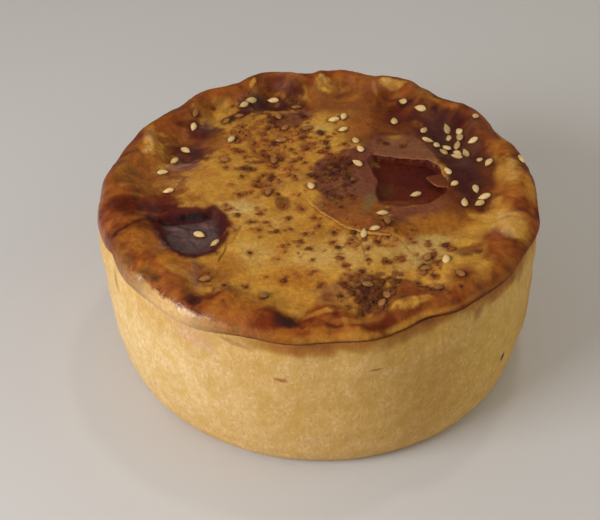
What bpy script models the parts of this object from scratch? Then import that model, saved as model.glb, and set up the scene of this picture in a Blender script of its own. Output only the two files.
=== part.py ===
"""Raised turkey pie, about 104 mm across and 46 mm tall, whole and uncut.

It is two pieces of hot-water-crust pastry. filled_case is the case with the filling baked into it, one
solid because nothing is cut open. crimped_lid lies in the mouth of the case and laps over its wall. The
lid's rim is fluted by finger and thumb, a steam blister in it has burst, and sesame seeds and flakes of
spice are baked onto it, so they are one solid with it.

Numbers are millimetres and degrees unless a name says otherwise; MM turns them to metres. +Z is up, the
origin is the centre of the base, azimuth 0 is +X and azimuth 90 is +Y.
"""

import math

import bmesh
import bpy
import numpy as np

MM = 0.001

# Driving dimensions
RIM_RADIUS = 51.0  # the lid's edge between two flutes
SEAM_HEIGHT = 40.3  # top of the case's wall, where the lid's edge laps over it
LID_LEVEL = 42.6  # the lid inside its rim
CREST_HEIGHT = 45.2  # the rim's ridge between two flutes, halfway round from its highest side
FIT_GAP = 0.3  # between the case and the lid

# The case
BASE_RADIUS = 46.4
WALL_PROFILE = (  # (height, radius): a rounded foot, then a wall that leans out and bows a little
    (0.0, BASE_RADIUS),
    (0.9, 47.9),
    (2.6, 49.0),
    (6.0, 50.0),
    (13.0, 51.1),
    (24.0, 51.8),
    (33.0, 51.8),
    (37.5, 51.4),
    (SEAM_HEIGHT, 50.8),
)
WALL_WAVE = 0.22  # how far the hand-raised wall strays from round
WAVE_FADE = 8.0  # height over which the wave fades in above the foot
WALL_LEAN = 0.4  # the foot lies this far towards +X and the top as far back
WALL_FOLLOWS = 0.7  # share of the lid's fluted edge that the top of the wall follows
FOLLOW_HEIGHT = 14.0  # how far down the wall its flutes fade out
WALL_BULGE = (298.0, 34.0, 10.0, 4.5, 0.5)  # azimuth, height, half angle, half height, depth
MOUTH_LEVEL = 38.0  # what the middle of the lid lies on
MOUTH_RADIUS = 42.0
LEDGE_RADIUS = 47.0
CASE_SECTORS = 96

# The lid
FLUTE_HALF_ANGLE = 5.5
EDGE_HALF_ANGLE = 8.0
FLUTES = (  # (azimuth, how far the thumb pushed the ridge outwards, and the edge)
    (5, 3.0, 0.7),
    (19, 3.0, 1.2),
    (40, 3.8, 2.3),
    (64, 4.4, 3.2),
    (83, 4.2, 2.4),
    (107, 4.2, 2.2),
    (128, 3.4, 0.4),
    (152, 3.2, 0.8),
    (175, 3.0, 1.1),
    (191, 3.0, 1.3),
    (211, 2.8, 0.8),
    (236, 4.0, 0.9),
    (251, 1.6, 0.4),
    (264, 5.0, 1.3),
    (282, 5.4, 1.4),
    (306, 3.6, 0.6),
    (323, 3.0, 0.8),
    (347, 3.2, 1.2),
)
PINCH = (298.0, 5.0, 2.2, 1.3)  # azimuth, half angle, how far the ridge and the edge come in
CREST_RADIUS = 45.2
CREST_REACH = 5.6  # the most that a flute moves the ridge
CREST_DROP = 0.2  # how far the ridge sinks for each millimetre it is pushed
RIM_TILT = (84.0, 1.1)  # azimuth of the rim's highest side, rise
INNER_SLOPE = 8.5
OUTER_ROUND = 2.1
EDGE_TOP = 41.9
EDGE_TUCK = 0.35  # the lip's lower corner lies this much inside its upper one
DOME_RISE = 0.9
DOME_RADIUS = 42.0
UNDULATION = 0.16
UNDULATION_LENGTHS = (31.0, 23.0, 27.0, 19.0, 36.0)
GOLDEN_TURN = 137.5

BASINS = (  # (x, y, half length, half width, turn, depth, steepness of the wall from 0 to 1)
    (-29.2, -16.6, 9.0, 8.4, 20.0, 1.7, 0.65),  # deep pool beside the left rim
    (-32.5, 17.0, 5.5, 7.5, 20.0, 0.9, 0.3),
    (-16.0, 37.6, 9.5, 3.6, -14.0, 1.1, 0.4),
    (33.0, 22.0, 8.0, 14.0, 28.0, 1.0, 0.2),  # broad basin that holds most of the seeds
    (-6.8, -45.9, 4.2, 3.0, 5.0, 1.7, 0.45),  # pits inside two flutes
    (-26.5, -39.5, 3.0, 2.2, -35.0, 0.9, 0.5),
    (12.5, -39.0, 7.0, 4.0, 10.0, 0.5, 0.1),
    (-8.6, -3.7, 3.4, 2.6, -40.0, 0.35, 0.1),
)
HOLLOW_CENTRE = (21.0, 4.0)
HOLLOW_DEPTH = 2.0
HOLLOW_RAMP = (12.0, -9.0, 0.35, 12.0)  # the floor climbs to the lid from here: x, y, slant, length
HOLLOW_OUTLINE = (  # the burst blister's edge, anticlockwise from the left
    (11.6, 9.9),
    (13.7, 3.3),
    (13.2, -2.1),
    (14.2, -6.2),
    (20.4, -6.6),
    (26.1, -5.2),
    (30.6, -1.6),
    (30.1, 5.5),
    (29.0, 10.6),
    (26.6, 13.3),
    (19.5, 13.7),
    (12.8, 13.2),
)
LIP_PATH = ((-3.0, -4.6), (0.6, -9.8), (5.9, -15.4), (10.4, -18.3), (16.4, -18.8))
LIP_LIFT = 0.75  # blistered skin stands this far above the sound lid
LIP_REACH = 7.0
LIP_STEP = 1.6  # width of the slope at the lip
LIP_FADE = 6.0  # length over which the lip begins and ends
TORN_EDGE = (  # where the skin overhangs the hollow
    (8.4, 14.4),
    (12.6, 13.0),
    (19.5, 13.5),
    (26.8, 13.1),
    (29.2, 10.3),
    (30.2, 5.3),
    (30.7, -1.4),
)
EDGE_LIFT = 0.8
EDGE_REACH = 5.0
SKIN_THICKNESS = 0.5
SKIN_ROOT = 0.9  # its thickness where it is sunk in the lid
SKIN_MIDDLE = 1.6  # how far behind its torn edge the skin stands proud of the lid, and by how much
SKIN_PROUD = 0.12
SKIN_BACK = 4.0  # how far behind the edge it has sunk into the lid, and by how much
SKIN_SUNK = 0.25
SKIN_FADE = 3.0  # length over which a torn edge begins and ends
SKIN_RAGGED = 2.3  # radians of the torn edge's waver for each millimetre
SKIN_STEPS = 13
LIP_OVERHANG = 0.5
TORN_OVERHANG = 0.9
FLAP = ((30.9, 5.3), (25.2, 5.6), (30.9, 0.2))  # a tongue of skin: base, tip, base
FLAP_PROUD = 0.05

# What is strewn on the lid
SESAME = (3.2, 1.9, 0.95)  # length, width, thickness
SESAME_STATIONS = ((0.24, 0.58), (0.6, 1.0), (0.88, 0.74))  # (share of the length, share of the width)
SESAME_SIDES = 5
SESAME_BURIED = 0.16  # how deep a seed's middle lies in the glaze
SESAME_SIZES = (0.9, 1.08)  # least and greatest size of a seed, as a share of SESAME
SESAME_RANDOM = 11
PALE_SEEDS = (  # (x, y, heading from the pointed tip to the round end): seeds that stayed pale
    (-37.8, 6.8, 180),
    (-35.6, 11.8, 62),
    (-33.1, 17.0, 140),
    (-31.8, 24.5, 90),
    (-35.8, -1.7, 15),
    (-27.4, -16.2, 146),
    (-23.7, -19.7, 45),
    (-19.7, 35.0, 40),
    (-18.0, 37.1, 20),
    (-12.3, 39.9, 0),
    (-22.0, 19.6, 70),
    (-2.1, 0.1, 290),
    (3.3, 29.3, 20),
    (5.9, 30.5, 80),
    (5.6, 25.1, 30),
    (8.7, 19.1, 280),
    (9.8, 14.5, 290),
    (9.0, 8.9, 320),
    (18.6, 28.8, 270),
    (21.3, 37.6, 320),
    (25.4, 32.6, 335),
    (26.0, 25.9, 239),
    (26.8, 21.5, 170),
    (28.8, 19.9, 254),
    (31.4, 19.4, 311),
    (32.0, 27.7, 279),
    (32.4, 24.2, 281),
    (34.9, 24.2, 295),
    (34.8, 21.7, 292),
    (37.7, 18.8, 20),
    (34.1, 19.5, 250),
    (36.0, 16.3, 285),
    (34.1, 16.9, 140),
    (33.4, 13.9, 325),
    (30.3, 16.5, 300),
    (39.0, 11.9, 280),
    (40.8, 9.2, 57),
    (38.9, 27.8, 70),
    (48.8, 11.5, 110),
    (30.8, 6.9, 295),
    (31.9, 1.4, 50),
    (37.1, 0.4, 100),
    (22.9, 0.3, 20),
    (34.0, -5.1, 270),
    (38.9, -2.4, 10),
    (37.5, -4.9, 40),
    (14.5, -10.1, 10),
    (10.2, -18.1, 265),
    (12.6, -16.9, 30),
    (28.4, -26.1, 270),
)
TOASTED_SEEDS = (  # seeds that browned, or sank in the glaze
    (-12.1, -2.1, 80),
    (-11.3, 11.5, 95),
    (-23.3, 10.9, 330),
    (-31.6, 28.9, 90),
    (-9.8, 20.2, 0),
    (-3.3, 25.3, 20),
    (-8.9, 25.3, 60),
    (-10.7, 30.6, 120),
    (-6.3, 36.0, 0),
    (-20.7, 30.9, 30),
    (-23.8, 28.5, 60),
    (-11.9, -39.3, 65),
    (-25.1, -33.7, 20),
    (31.0, -32.6, 310),
    (24.3, -25.6, 70),
    (23.5, -29.4, 20),
    (10.6, -34.8, 345),
    (14.9, -38.5, 300),
    (13.8, -42.2, 80),
    (26.0, -36.0, 30),
    (15.7, -13.4, 95),
)
FLAKE_RANDOM = 23
FLAKE_GROUPS = (  # (x, y, spread, heading, how far headings stray, how many): coarse flakes of spice
    (-7.6, -33.6, 0.3, 30, 20, 1),
    (-14.0, 14.0, 11.0, 0, 180, 12),
    (-4.0, 20.0, 8.0, 0, 180, 6),
    (3.5, 5.0, 6.5, 0, 180, 9),
    (-10.0, -12.0, 12.0, 0, 180, 7),
    (6.0, -27.0, 12.0, 0, 180, 9),
    (23.0, -23.0, 9.0, 0, 180, 7),
    (12.0, -38.0, 6.0, 0, 180, 9),
)
FLAKE_SIZE = (0.55, 1.15)  # least and greatest half length
FLAKE_SPACING = 2.0
FLAKE_HEIGHT = 0.45
FLAKE_CORNERS = 5
FLAKE_FOOT = 0.08  # how far its outline stands above the lid
PROBE = 0.8  # distance over which the lid's slope is taken for what lies on it
STEEPEST = 0.7

LID_RINGS = 26  # rings of triangles from the lid's middle to its edge
RIM_RINGS = 9  # of those, the ones that share the rim
RIM_SHARE = 0.8  # where the rim's finer rings begin, as a share of the lid's radius


def smooth(share):
    """0 below 0, 1 above 1, and an S-shaped rise between them."""
    held = np.clip(share, 0.0, 1.0)
    return held * held * (3.0 - 2.0 * held)


def bell(offset, half_width):
    """1 at offset 0, falling away on both sides."""
    return np.exp(-((offset / half_width) ** 2))


def turn_between(azimuth, centre):
    """How many degrees azimuth lies past centre, from -180 to 180."""
    return (azimuth - centre + 180.0) % 360.0 - 180.0


def flute_push(azimuth):
    """Outward push of the thumb on the ridge at an azimuth: the sum of one bell for each flute."""
    return sum(push * bell(turn_between(azimuth, centre), FLUTE_HALF_ANGLE) for centre, push, _ in FLUTES)


def edge_radius(azimuth):
    """Radius of the lid's edge, which follows its flutes a little and comes in at the pinch."""
    pinch, half_angle, _, edge_in = PINCH
    pinched = edge_in * bell(turn_between(azimuth, pinch), half_angle)
    pushed = sum(push * bell(turn_between(azimuth, centre), EDGE_HALF_ANGLE) for centre, _, push in FLUTES)
    return RIM_RADIUS + pushed - pinched


def crest_radius(azimuth):
    """Radius of the rim's ridge, which weaves out at each flute and in at the pinch."""
    pinch, half_angle, ridge_in, _ = PINCH
    pinched = ridge_in * bell(turn_between(azimuth, pinch), half_angle)
    return CREST_RADIUS + np.minimum(flute_push(azimuth), CREST_REACH) - pinched


def crest_height(azimuth):
    """Height of the ridge: lower where it was pushed out, higher on one side of the pie."""
    high_side, rise = RIM_TILT
    tilt = rise * np.cos(np.radians(azimuth - high_side))
    return CREST_HEIGHT + tilt - CREST_DROP * flute_push(azimuth)


def path_distance(x, y, path):
    """Distance to an open path, and which side of it a point is on: +1 left of its direction, else -1."""
    nearest = np.full(np.shape(x), np.inf)
    side = np.ones(np.shape(x))
    for (ax, ay), (bx, by) in zip(path[:-1], path[1:]):
        dx, dy = bx - ax, by - ay
        share = np.clip(((x - ax) * dx + (y - ay) * dy) / (dx * dx + dy * dy), 0.0, 1.0)
        distance = np.hypot(x - ax - share * dx, y - ay - share * dy)
        left = dx * (y - ay) - dy * (x - ax)
        closer = distance < nearest
        nearest = np.where(closer, distance, nearest)
        side = np.where(closer, np.where(left >= 0.0, 1.0, -1.0), side)
    return nearest, side


def basin_depth(x, y):
    """Sum of the glaze-filled dents: each is deepest in its middle and ends at an ellipse."""
    total = np.zeros(np.shape(x))
    for centre_x, centre_y, half_length, half_width, turn, depth, steepness in BASINS:
        angle = math.radians(turn)
        along = (x - centre_x) * math.cos(angle) + (y - centre_y) * math.sin(angle)
        across = (y - centre_y) * math.cos(angle) - (x - centre_x) * math.sin(angle)
        reach = np.hypot(along / half_length, across / half_width)
        wall = 1.0 - steepness
        total = total + depth * (1.0 - smooth((reach - 1.0 + wall) / wall))
    return total


def undulation(x, y):
    """Slow swell of rolled dough: sines of different lengths, each turned by the golden angle."""
    total = np.zeros(np.shape(x))
    for count, length in enumerate(UNDULATION_LENGTHS):
        angle = math.radians(GOLDEN_TURN * count)
        across = x * math.cos(angle) + y * math.sin(angle)
        total = total + UNDULATION * np.sin(2.0 * math.pi * across / length + count)
    return total


def skin_lift(x, y):
    """How far the blistered skin stands up: most at its torn edges, fading away from them."""
    distance, side = path_distance(x, y, LIP_PATH)
    lip = LIP_LIFT * np.exp(-distance / LIP_REACH) * smooth(0.5 + 0.5 * side * distance / LIP_STEP)
    left_end, right_end = LIP_PATH[0][0], LIP_PATH[-1][0]
    lip = lip * smooth((x - left_end) / LIP_FADE) * smooth((right_end - x) / LIP_FADE + 0.7)
    distance, _ = path_distance(x, y, TORN_EDGE)
    return lip + EDGE_LIFT * np.exp(-((distance / EDGE_REACH) ** 2))


def hollow_depth(x, y):
    """Depth of the burst blister's floor below the lid, which climbs to nothing at its lower left."""
    start_x, start_y, slant, length = HOLLOW_RAMP
    return HOLLOW_DEPTH * smooth((y - start_y + slant * (x - start_x)) / length)


def lid_height(x, y):
    """Height of the lid's upper face, with the blister whole: the field, the ridge and the outer slope."""
    azimuth = np.degrees(np.arctan2(y, x))
    radius = np.hypot(x, y)
    crest, crest_z, edge = crest_radius(azimuth), crest_height(azimuth), edge_radius(azimuth)
    field = LID_LEVEL + DOME_RISE * (1.0 - (radius / DOME_RADIUS) ** 2)
    field = field + undulation(x, y) - basin_depth(x, y) + skin_lift(x, y)
    inside = field + (crest_z - field) * smooth((radius - crest + INNER_SLOPE) / INNER_SLOPE)
    down = np.clip((radius - crest) / (edge - crest), 0.0, 1.0)
    outside = EDGE_TOP + (crest_z - EDGE_TOP) * (1.0 - down**OUTER_ROUND)
    return np.where(radius < crest, inside, outside)


def in_hollow(x, y):
    """Whether each point lies inside the hollow's outline, by counting the edges to its right."""
    crossings = np.zeros(np.shape(x), dtype=int)
    outline = HOLLOW_OUTLINE
    for (ax, ay), (bx, by) in zip(outline, outline[1:] + outline[:1]):
        spans = (ay > y) != (by > y)
        at = ax + (y - ay) * (bx - ax) / (by - ay if by != ay else 1.0)
        crossings = crossings + (spans & (x < at))
    return crossings % 2 == 1


def top_height(x, y):
    """Height of what a seed lands on: the lid, or the floor of its hollow."""
    return lid_height(x, y) - np.where(in_hollow(x, y), hollow_depth(x, y), 0.0)


def wall_radius(height, azimuth):
    """Radius of the case's wall: profile, hand-made wave, lean, flutes at its top, and one swelling."""
    levels, radii = zip(*WALL_PROFILE)
    wave = np.sin(np.radians(3.0 * azimuth) + 0.12 * height) + np.sin(np.radians(5.0 * azimuth) + 2.0)
    rise = smooth(height / WAVE_FADE) * smooth((SEAM_HEIGHT - height) / WAVE_FADE + 0.5)
    lean = WALL_LEAN * np.cos(np.radians(azimuth)) * (1.0 - 2.0 * height / SEAM_HEIGHT)
    near_top = smooth((height - SEAM_HEIGHT) / FOLLOW_HEIGHT + 1.0)
    fluted = WALL_FOLLOWS * (edge_radius(azimuth) - RIM_RADIUS) * near_top
    centre, level, half_angle, half_height, depth = WALL_BULGE
    bulge = depth * bell(turn_between(azimuth, centre), half_angle) * bell(height - level, half_height)
    return np.interp(height, levels, radii) + WALL_WAVE * wave * rise + lean + fluted + bulge


def new_object(name, points, faces):
    """An object whose mesh has these points, given in millimetres, and these faces."""
    mesh = bpy.data.meshes.new(name)
    mesh.from_pydata([tuple(float(c) * MM for c in point) for point in points], [], faces)
    solid = bpy.data.objects.new(name, mesh)
    bpy.context.scene.collection.objects.link(solid)
    return solid


def loft(rings, close_first, close_last):
    """Points and faces of a tube through equal rings of points, first ring lowest when they run upwards."""
    size = len(rings[0])
    points = [point for ring in rings for point in ring]
    faces = []
    for level in range(len(rings) - 1):
        low, high = level * size, (level + 1) * size
        for k in range(size):
            after = (k + 1) % size
            faces.append((low + k, low + after, high + after, high + k))
    if close_first:
        faces.append(tuple(reversed(range(size))))
    if close_last:
        faces.append(tuple(range((len(rings) - 1) * size, len(rings) * size)))
    return points, faces


def make_case():
    """The case and its filling: the outer wall from the base up, then over the ledge into the mouth."""
    azimuths = np.arange(CASE_SECTORS) * 360.0 / CASE_SECTORS
    turned = np.radians(azimuths)

    def ring(radius, height):
        across = np.broadcast_to(radius, azimuths.shape)
        return [(r * math.cos(a), r * math.sin(a), height) for r, a in zip(across, turned)]

    rings = [ring(wall_radius(height, azimuths), height) for height, _ in WALL_PROFILE]
    rings.append(ring(LEDGE_RADIUS, SEAM_HEIGHT))
    rings.append(ring(MOUTH_RADIUS, MOUTH_LEVEL))
    points, faces = loft(rings, close_first=True, close_last=True)
    return new_object("filled_case", points, faces)


def lid_ring_share(ring):
    """Where a ring of the lid lies, as a share of its radius: rings crowd together over the rim."""
    field_rings = LID_RINGS - RIM_RINGS
    if ring <= field_rings:
        return RIM_SHARE * ring / field_rings
    return RIM_SHARE + (1.0 - RIM_SHARE) * (ring - field_rings) / RIM_RINGS


def lid_top():
    """Points and triangles of the lid's upper face: ring k holds 6 k points, so all cells are alike."""
    points = [(0.0, 0.0, float(lid_height(np.array(0.0), np.array(0.0))))]
    faces = []
    for ring in range(1, LID_RINGS + 1):
        azimuths = np.arange(6 * ring) * 60.0 / ring
        radii = lid_ring_share(ring) * edge_radius(azimuths)
        x, y = radii * np.cos(np.radians(azimuths)), radii * np.sin(np.radians(azimuths))
        points.extend(zip(x, y, lid_height(x, y)))
        outer, inner = 1 + 3 * ring * (ring - 1), 1 + 3 * (ring - 1) * (ring - 2)
        for sector in range(6):
            for k in range(ring):
                here = outer + (sector * ring + k) % (6 * ring)
                after = outer + (sector * ring + k + 1) % (6 * ring)
                if ring == 1:
                    faces.append((0, here, after))
                    continue
                below = inner + (sector * (ring - 1) + k) % (6 * (ring - 1))
                faces.append((here, after, below))
                if k:
                    before = inner + (sector * (ring - 1) + k - 1) % (6 * (ring - 1))
                    faces.append((before, here, below))
    return points, faces


def make_lid_blank():
    """The bare lid: its upper face, the lip at its edge, and an underside that fits the case's mouth."""
    points, faces = lid_top()
    edge_count = 6 * LID_RINGS
    azimuths = np.arange(edge_count) * 360.0 / edge_count
    turned = np.radians(azimuths)
    previous = len(points) - edge_count
    underside = (
        (edge_radius(azimuths) - EDGE_TUCK, SEAM_HEIGHT + FIT_GAP),
        (LEDGE_RADIUS, SEAM_HEIGHT + FIT_GAP),
        (MOUTH_RADIUS, MOUTH_LEVEL + FIT_GAP),
    )
    for radius, height in underside:
        start = len(points)
        across = np.broadcast_to(radius, azimuths.shape)
        points.extend((r * math.cos(a), r * math.sin(a), height) for r, a in zip(across, turned))
        for k in range(edge_count):
            after = (k + 1) % edge_count
            faces.append((previous + k, start + k, start + after, previous + after))
        previous = start
    faces.append(tuple(reversed(range(previous, previous + edge_count))))
    return new_object("crimped_lid", points, faces)


def make_hollow_cutter():
    """The blister's hollow as a plug: a floor that follows hollow_depth, and walls up past the lid."""
    centre_x, centre_y = HOLLOW_CENTRE
    rings = []
    for share in (0.35, 0.7, 1.0):
        ring = []
        for corner_x, corner_y in HOLLOW_OUTLINE:
            x = centre_x + share * (corner_x - centre_x)
            y = centre_y + share * (corner_y - centre_y)
            depth = max(float(hollow_depth(x, y)), 0.3)
            ring.append((x, y, float(lid_height(np.array(x), np.array(y))) - depth))
        rings.append(ring)
    rings.append([(x, y, CREST_HEIGHT + 4.0) for x, y in HOLLOW_OUTLINE])
    points, faces = loft(rings, close_first=True, close_last=True)
    cutter = new_object("hollow_cutter", points, faces)
    cutter.hide_render = True
    cutter.display_type = "WIRE"
    return cutter


def make_skin(name, edge_path, overhang):
    """A strip of blistered skin whose torn edge runs on the right of a path and whose back is sunk."""
    path = np.array(edge_path, dtype=float)
    lengths = np.concatenate([[0.0], np.cumsum(np.hypot(*np.diff(path, axis=0).T))])
    at = np.linspace(0.0, lengths[-1], SKIN_STEPS)
    x, y = np.interp(at, lengths, path[:, 0]), np.interp(at, lengths, path[:, 1])
    run_x, run_y = np.gradient(x), np.gradient(y)
    run = np.hypot(run_x, run_y)
    out_x, out_y = run_y / run, -run_x / run
    fade = smooth(at / SKIN_FADE) * smooth((lengths[-1] - at) / SKIN_FADE)
    ragged = overhang * fade * (0.7 + 0.3 * np.sin(SKIN_RAGGED * at))
    sound = lid_height(x - out_x * LIP_STEP, y - out_y * LIP_STEP)
    middle_x, middle_y = x - out_x * SKIN_MIDDLE, y - out_y * SKIN_MIDDLE
    back_x, back_y = x - out_x * SKIN_BACK, y - out_y * SKIN_BACK
    rows = (
        (x + out_x * ragged, y + out_y * ragged, sound, SKIN_THICKNESS),
        (middle_x, middle_y, lid_height(middle_x, middle_y) + SKIN_PROUD, SKIN_ROOT),
        (back_x, back_y, lid_height(back_x, back_y) - SKIN_SUNK, SKIN_ROOT),
    )
    steps = SKIN_STEPS
    points = [(px[k], py[k], top[k]) for px, py, top, _ in rows for k in range(steps)]
    points += [(px[k], py[k], top[k] - depth) for px, py, top, depth in rows for k in range(steps)]
    count, under = len(rows), len(rows) * steps
    faces = []
    for row in range(count - 1):
        for k in range(steps - 1):
            a, b = row * steps + k, (row + 1) * steps + k
            faces.append((a, b, b + 1, a + 1))
            faces.append((under + a, under + a + 1, under + b + 1, under + b))
    for k in range(steps - 1):
        back = (count - 1) * steps + k
        faces.append((k, k + 1, under + k + 1, under + k))
        faces.append((back, under + back, under + back + 1, back + 1))
    for row in range(count - 1):
        a, b = row * steps, (row + 1) * steps
        faces.append((a, under + a, under + b, b))
        faces.append((a + steps - 1, b + steps - 1, under + b + steps - 1, under + a + steps - 1))
    return point_outwards(new_object(name, points, faces))


def make_flap():
    """The tongue of skin that hangs over the hollow: a thin three-cornered wedge."""
    corners = [(x, y, float(lid_height(np.array(x), np.array(y)))) for x, y in FLAP]
    upper = [(x, y, z + FLAP_PROUD) for x, y, z in corners]
    lower = [(x, y, z - SKIN_THICKNESS) for x, y, z in corners]
    points, faces = loft([lower, upper], close_first=True, close_last=True)
    return point_outwards(new_object("skin_flap", points, faces))


def point_outwards(solid):
    """Turns a closed mesh's faces to point out of it."""
    work = bmesh.new()
    work.from_mesh(solid.data)
    bmesh.ops.recalc_face_normals(work, faces=work.faces)
    work.to_mesh(solid.data)
    work.free()
    return solid


def scatter(groups, spacing, draw):
    """Places in each group's circle, never closer to one another than spacing: (x, y, heading)."""
    placed = []
    for centre_x, centre_y, spread, heading_middle, heading_spread, count in groups:
        found = tries = 0
        while found < count and tries < 400:
            tries += 1
            angle, reach = draw.uniform(0.0, 2.0 * math.pi), spread * math.sqrt(draw.uniform())
            x, y = centre_x + reach * math.cos(angle), centre_y + reach * math.sin(angle)
            heading = heading_middle + draw.uniform(-heading_spread, heading_spread)
            if all(math.hypot(x - px, y - py) >= spacing for px, py, _ in placed):
                placed.append((x, y, heading))
                found += 1
    return placed


def surface_axes(x, y, heading):
    """Place on the lid and three axes there: along heading, across it, and out of the surface."""
    here = float(top_height(np.array(x), np.array(y)))
    slope_x = (float(top_height(np.array(x + PROBE), np.array(y))) - here) / PROBE
    slope_y = (float(top_height(np.array(x), np.array(y + PROBE))) - here) / PROBE
    eased = min(1.0, STEEPEST / max(math.hypot(slope_x, slope_y), STEEPEST))
    out = np.array([-slope_x * eased, -slope_y * eased, 1.0])
    out = out / np.linalg.norm(out)
    along = np.array([math.cos(math.radians(heading)), math.sin(math.radians(heading)), 0.0])
    along = along - out * (along @ out)
    along = along / np.linalg.norm(along)
    return np.array([x, y, here]), along, np.cross(out, along), out


def make_seed(name, x, y, heading, size):
    """A sesame seed: a flattened drop, pointed at one end, through a few rings of points."""
    length, width, thickness = (measure * size for measure in SESAME)
    place, along, across, out = surface_axes(x, y, heading)
    centre = place + out * (0.5 * thickness - SESAME_BURIED)

    def at(share, side, rise):
        return centre + along * (share - 0.5) * length + across * side + out * rise

    points = [at(0.0, 0.0, 0.0)]
    for share, wide in SESAME_STATIONS:
        for k in range(SESAME_SIDES):
            angle = 2.0 * math.pi * (k + 0.25) / SESAME_SIDES
            side = 0.5 * width * wide * math.cos(angle)
            rise = 0.5 * thickness * math.sqrt(wide) * math.sin(angle)
            points.append(at(share, side, rise))
    points.append(at(1.0, 0.0, 0.0))
    return drop_solid(name, points, SESAME_SIDES, len(SESAME_STATIONS))


def drop_solid(name, points, sides, rings):
    """Closes a first point, rings of points and a last point into one solid."""
    last = len(points) - 1
    faces = []
    for k in range(sides):
        after = (k + 1) % sides
        faces.append((0, 1 + after, 1 + k))
        top = 1 + (rings - 1) * sides
        faces.append((last, top + k, top + after))
        for ring in range(rings - 1):
            low, high = 1 + ring * sides, 1 + (ring + 1) * sides
            faces.append((low + k, low + after, high + after, high + k))
    return point_outwards(new_object(name, points, faces))


def make_flake(name, x, y, heading, draw):
    """A flake of spice: a low crag with uneven corners, half sunk in the glaze."""
    place, along, across, out = surface_axes(x, y, heading)
    half = draw.uniform(*FLAKE_SIZE)
    narrow = half * draw.uniform(0.55, 0.9)
    points = [place + out * FLAKE_HEIGHT * draw.uniform(0.8, 1.3)]
    for k in range(FLAKE_CORNERS):
        angle = 2.0 * math.pi * k / FLAKE_CORNERS
        uneven = draw.uniform(0.75, 1.15)
        offset = along * half * math.cos(angle) * uneven + across * narrow * math.sin(angle) * uneven
        points.append(place + offset + out * FLAKE_FOOT)
    points.append(place - out * FLAKE_HEIGHT)
    return drop_solid(name, points, FLAKE_CORNERS, 1)


def make_toppings():
    """Everything that is baked onto the lid, as solids that reach into it."""
    pieces = [
        make_skin("blister_lip", LIP_PATH, LIP_OVERHANG),
        make_skin("torn_skin", TORN_EDGE, TORN_OVERHANG),
        make_flap(),
    ]
    draw = np.random.default_rng(SESAME_RANDOM)
    for k, (x, y, heading) in enumerate(PALE_SEEDS + TOASTED_SEEDS):
        pieces.append(make_seed(f"sesame_{k}", x, y, heading, draw.uniform(*SESAME_SIZES)))
    draw = np.random.default_rng(FLAKE_RANDOM)
    for k, (x, y, heading) in enumerate(scatter(FLAKE_GROUPS, FLAKE_SPACING, draw)):
        pieces.append(make_flake(f"flake_{k}", x, y, heading, draw))
    return pieces


def apply_boolean(solid, operation, **settings):
    """Adds a Boolean modifier with these settings and applies it."""
    modifier = solid.modifiers.new(operation.lower(), "BOOLEAN")
    modifier.operation = operation
    modifier.solver = "EXACT"
    for name, value in settings.items():
        setattr(modifier, name, value)
    bpy.context.view_layer.objects.active = solid
    bpy.ops.object.modifier_apply(modifier=modifier.name)


def make_lid():
    """The lid: its blank, less the hollow, joined with everything baked onto it."""
    lid = make_lid_blank()
    cutter = make_hollow_cutter()
    apply_boolean(lid, "DIFFERENCE", object=cutter)
    bpy.data.objects.remove(cutter)
    baked_on = bpy.data.collections.new("baked_on")
    bpy.context.scene.collection.children.link(baked_on)
    for piece in make_toppings():
        bpy.context.scene.collection.objects.unlink(piece)
        baked_on.objects.link(piece)
    apply_boolean(lid, "UNION", operand_type="COLLECTION", collection=baked_on)
    for piece in list(baked_on.objects):
        bpy.data.objects.remove(piece)
    bpy.data.collections.remove(baked_on)
    return lid


def crust_material(name, colour, roughness):
    """A Principled material in one colour, given as linear red, green and blue."""
    material = bpy.data.materials.new(name)
    material.use_nodes = True
    shader = material.node_tree.nodes["Principled BSDF"]
    shader.inputs["Base Color"].default_value = (*colour, 1.0)
    shader.inputs["Roughness"].default_value = roughness
    shader.inputs["Metallic"].default_value = 0.0
    return material


def finish(solid, material, sharp_angle):
    """Gives a solid its material and smooth shading, with edges sharper than the angle kept."""
    solid.data.materials.clear()
    solid.data.materials.append(material)
    solid.data.shade_smooth()
    solid.data.set_sharp_from_angle(angle=math.radians(sharp_angle))


def build_pie():
    """Clears the scene and makes the pie's two solids."""
    for old in list(bpy.data.objects):
        bpy.data.objects.remove(old)
    case, lid = make_case(), make_lid()
    finish(case, crust_material("pale_crust", (0.62, 0.38, 0.14), 0.75), 40.0)
    finish(lid, crust_material("glazed_crust", (0.42, 0.17, 0.04), 0.35), 50.0)


build_pie()
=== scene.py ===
"""A raised turkey pie, whole and uncut, about 104 mm across and 46 mm tall, dressed over its CAD frame.

The file follows the pie as it is made: the case with its filling, the lid laid into it, the skin of the
blister that burst in the lid, and then what was strewn on the glaze. The floor, the light and the camera
come last. Numbers are millimetres and degrees unless a name says otherwise. +Z is up, the origin is the
centre of the base, azimuth 0 is +X and azimuth 90 is +Y.
"""

import math

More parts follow.
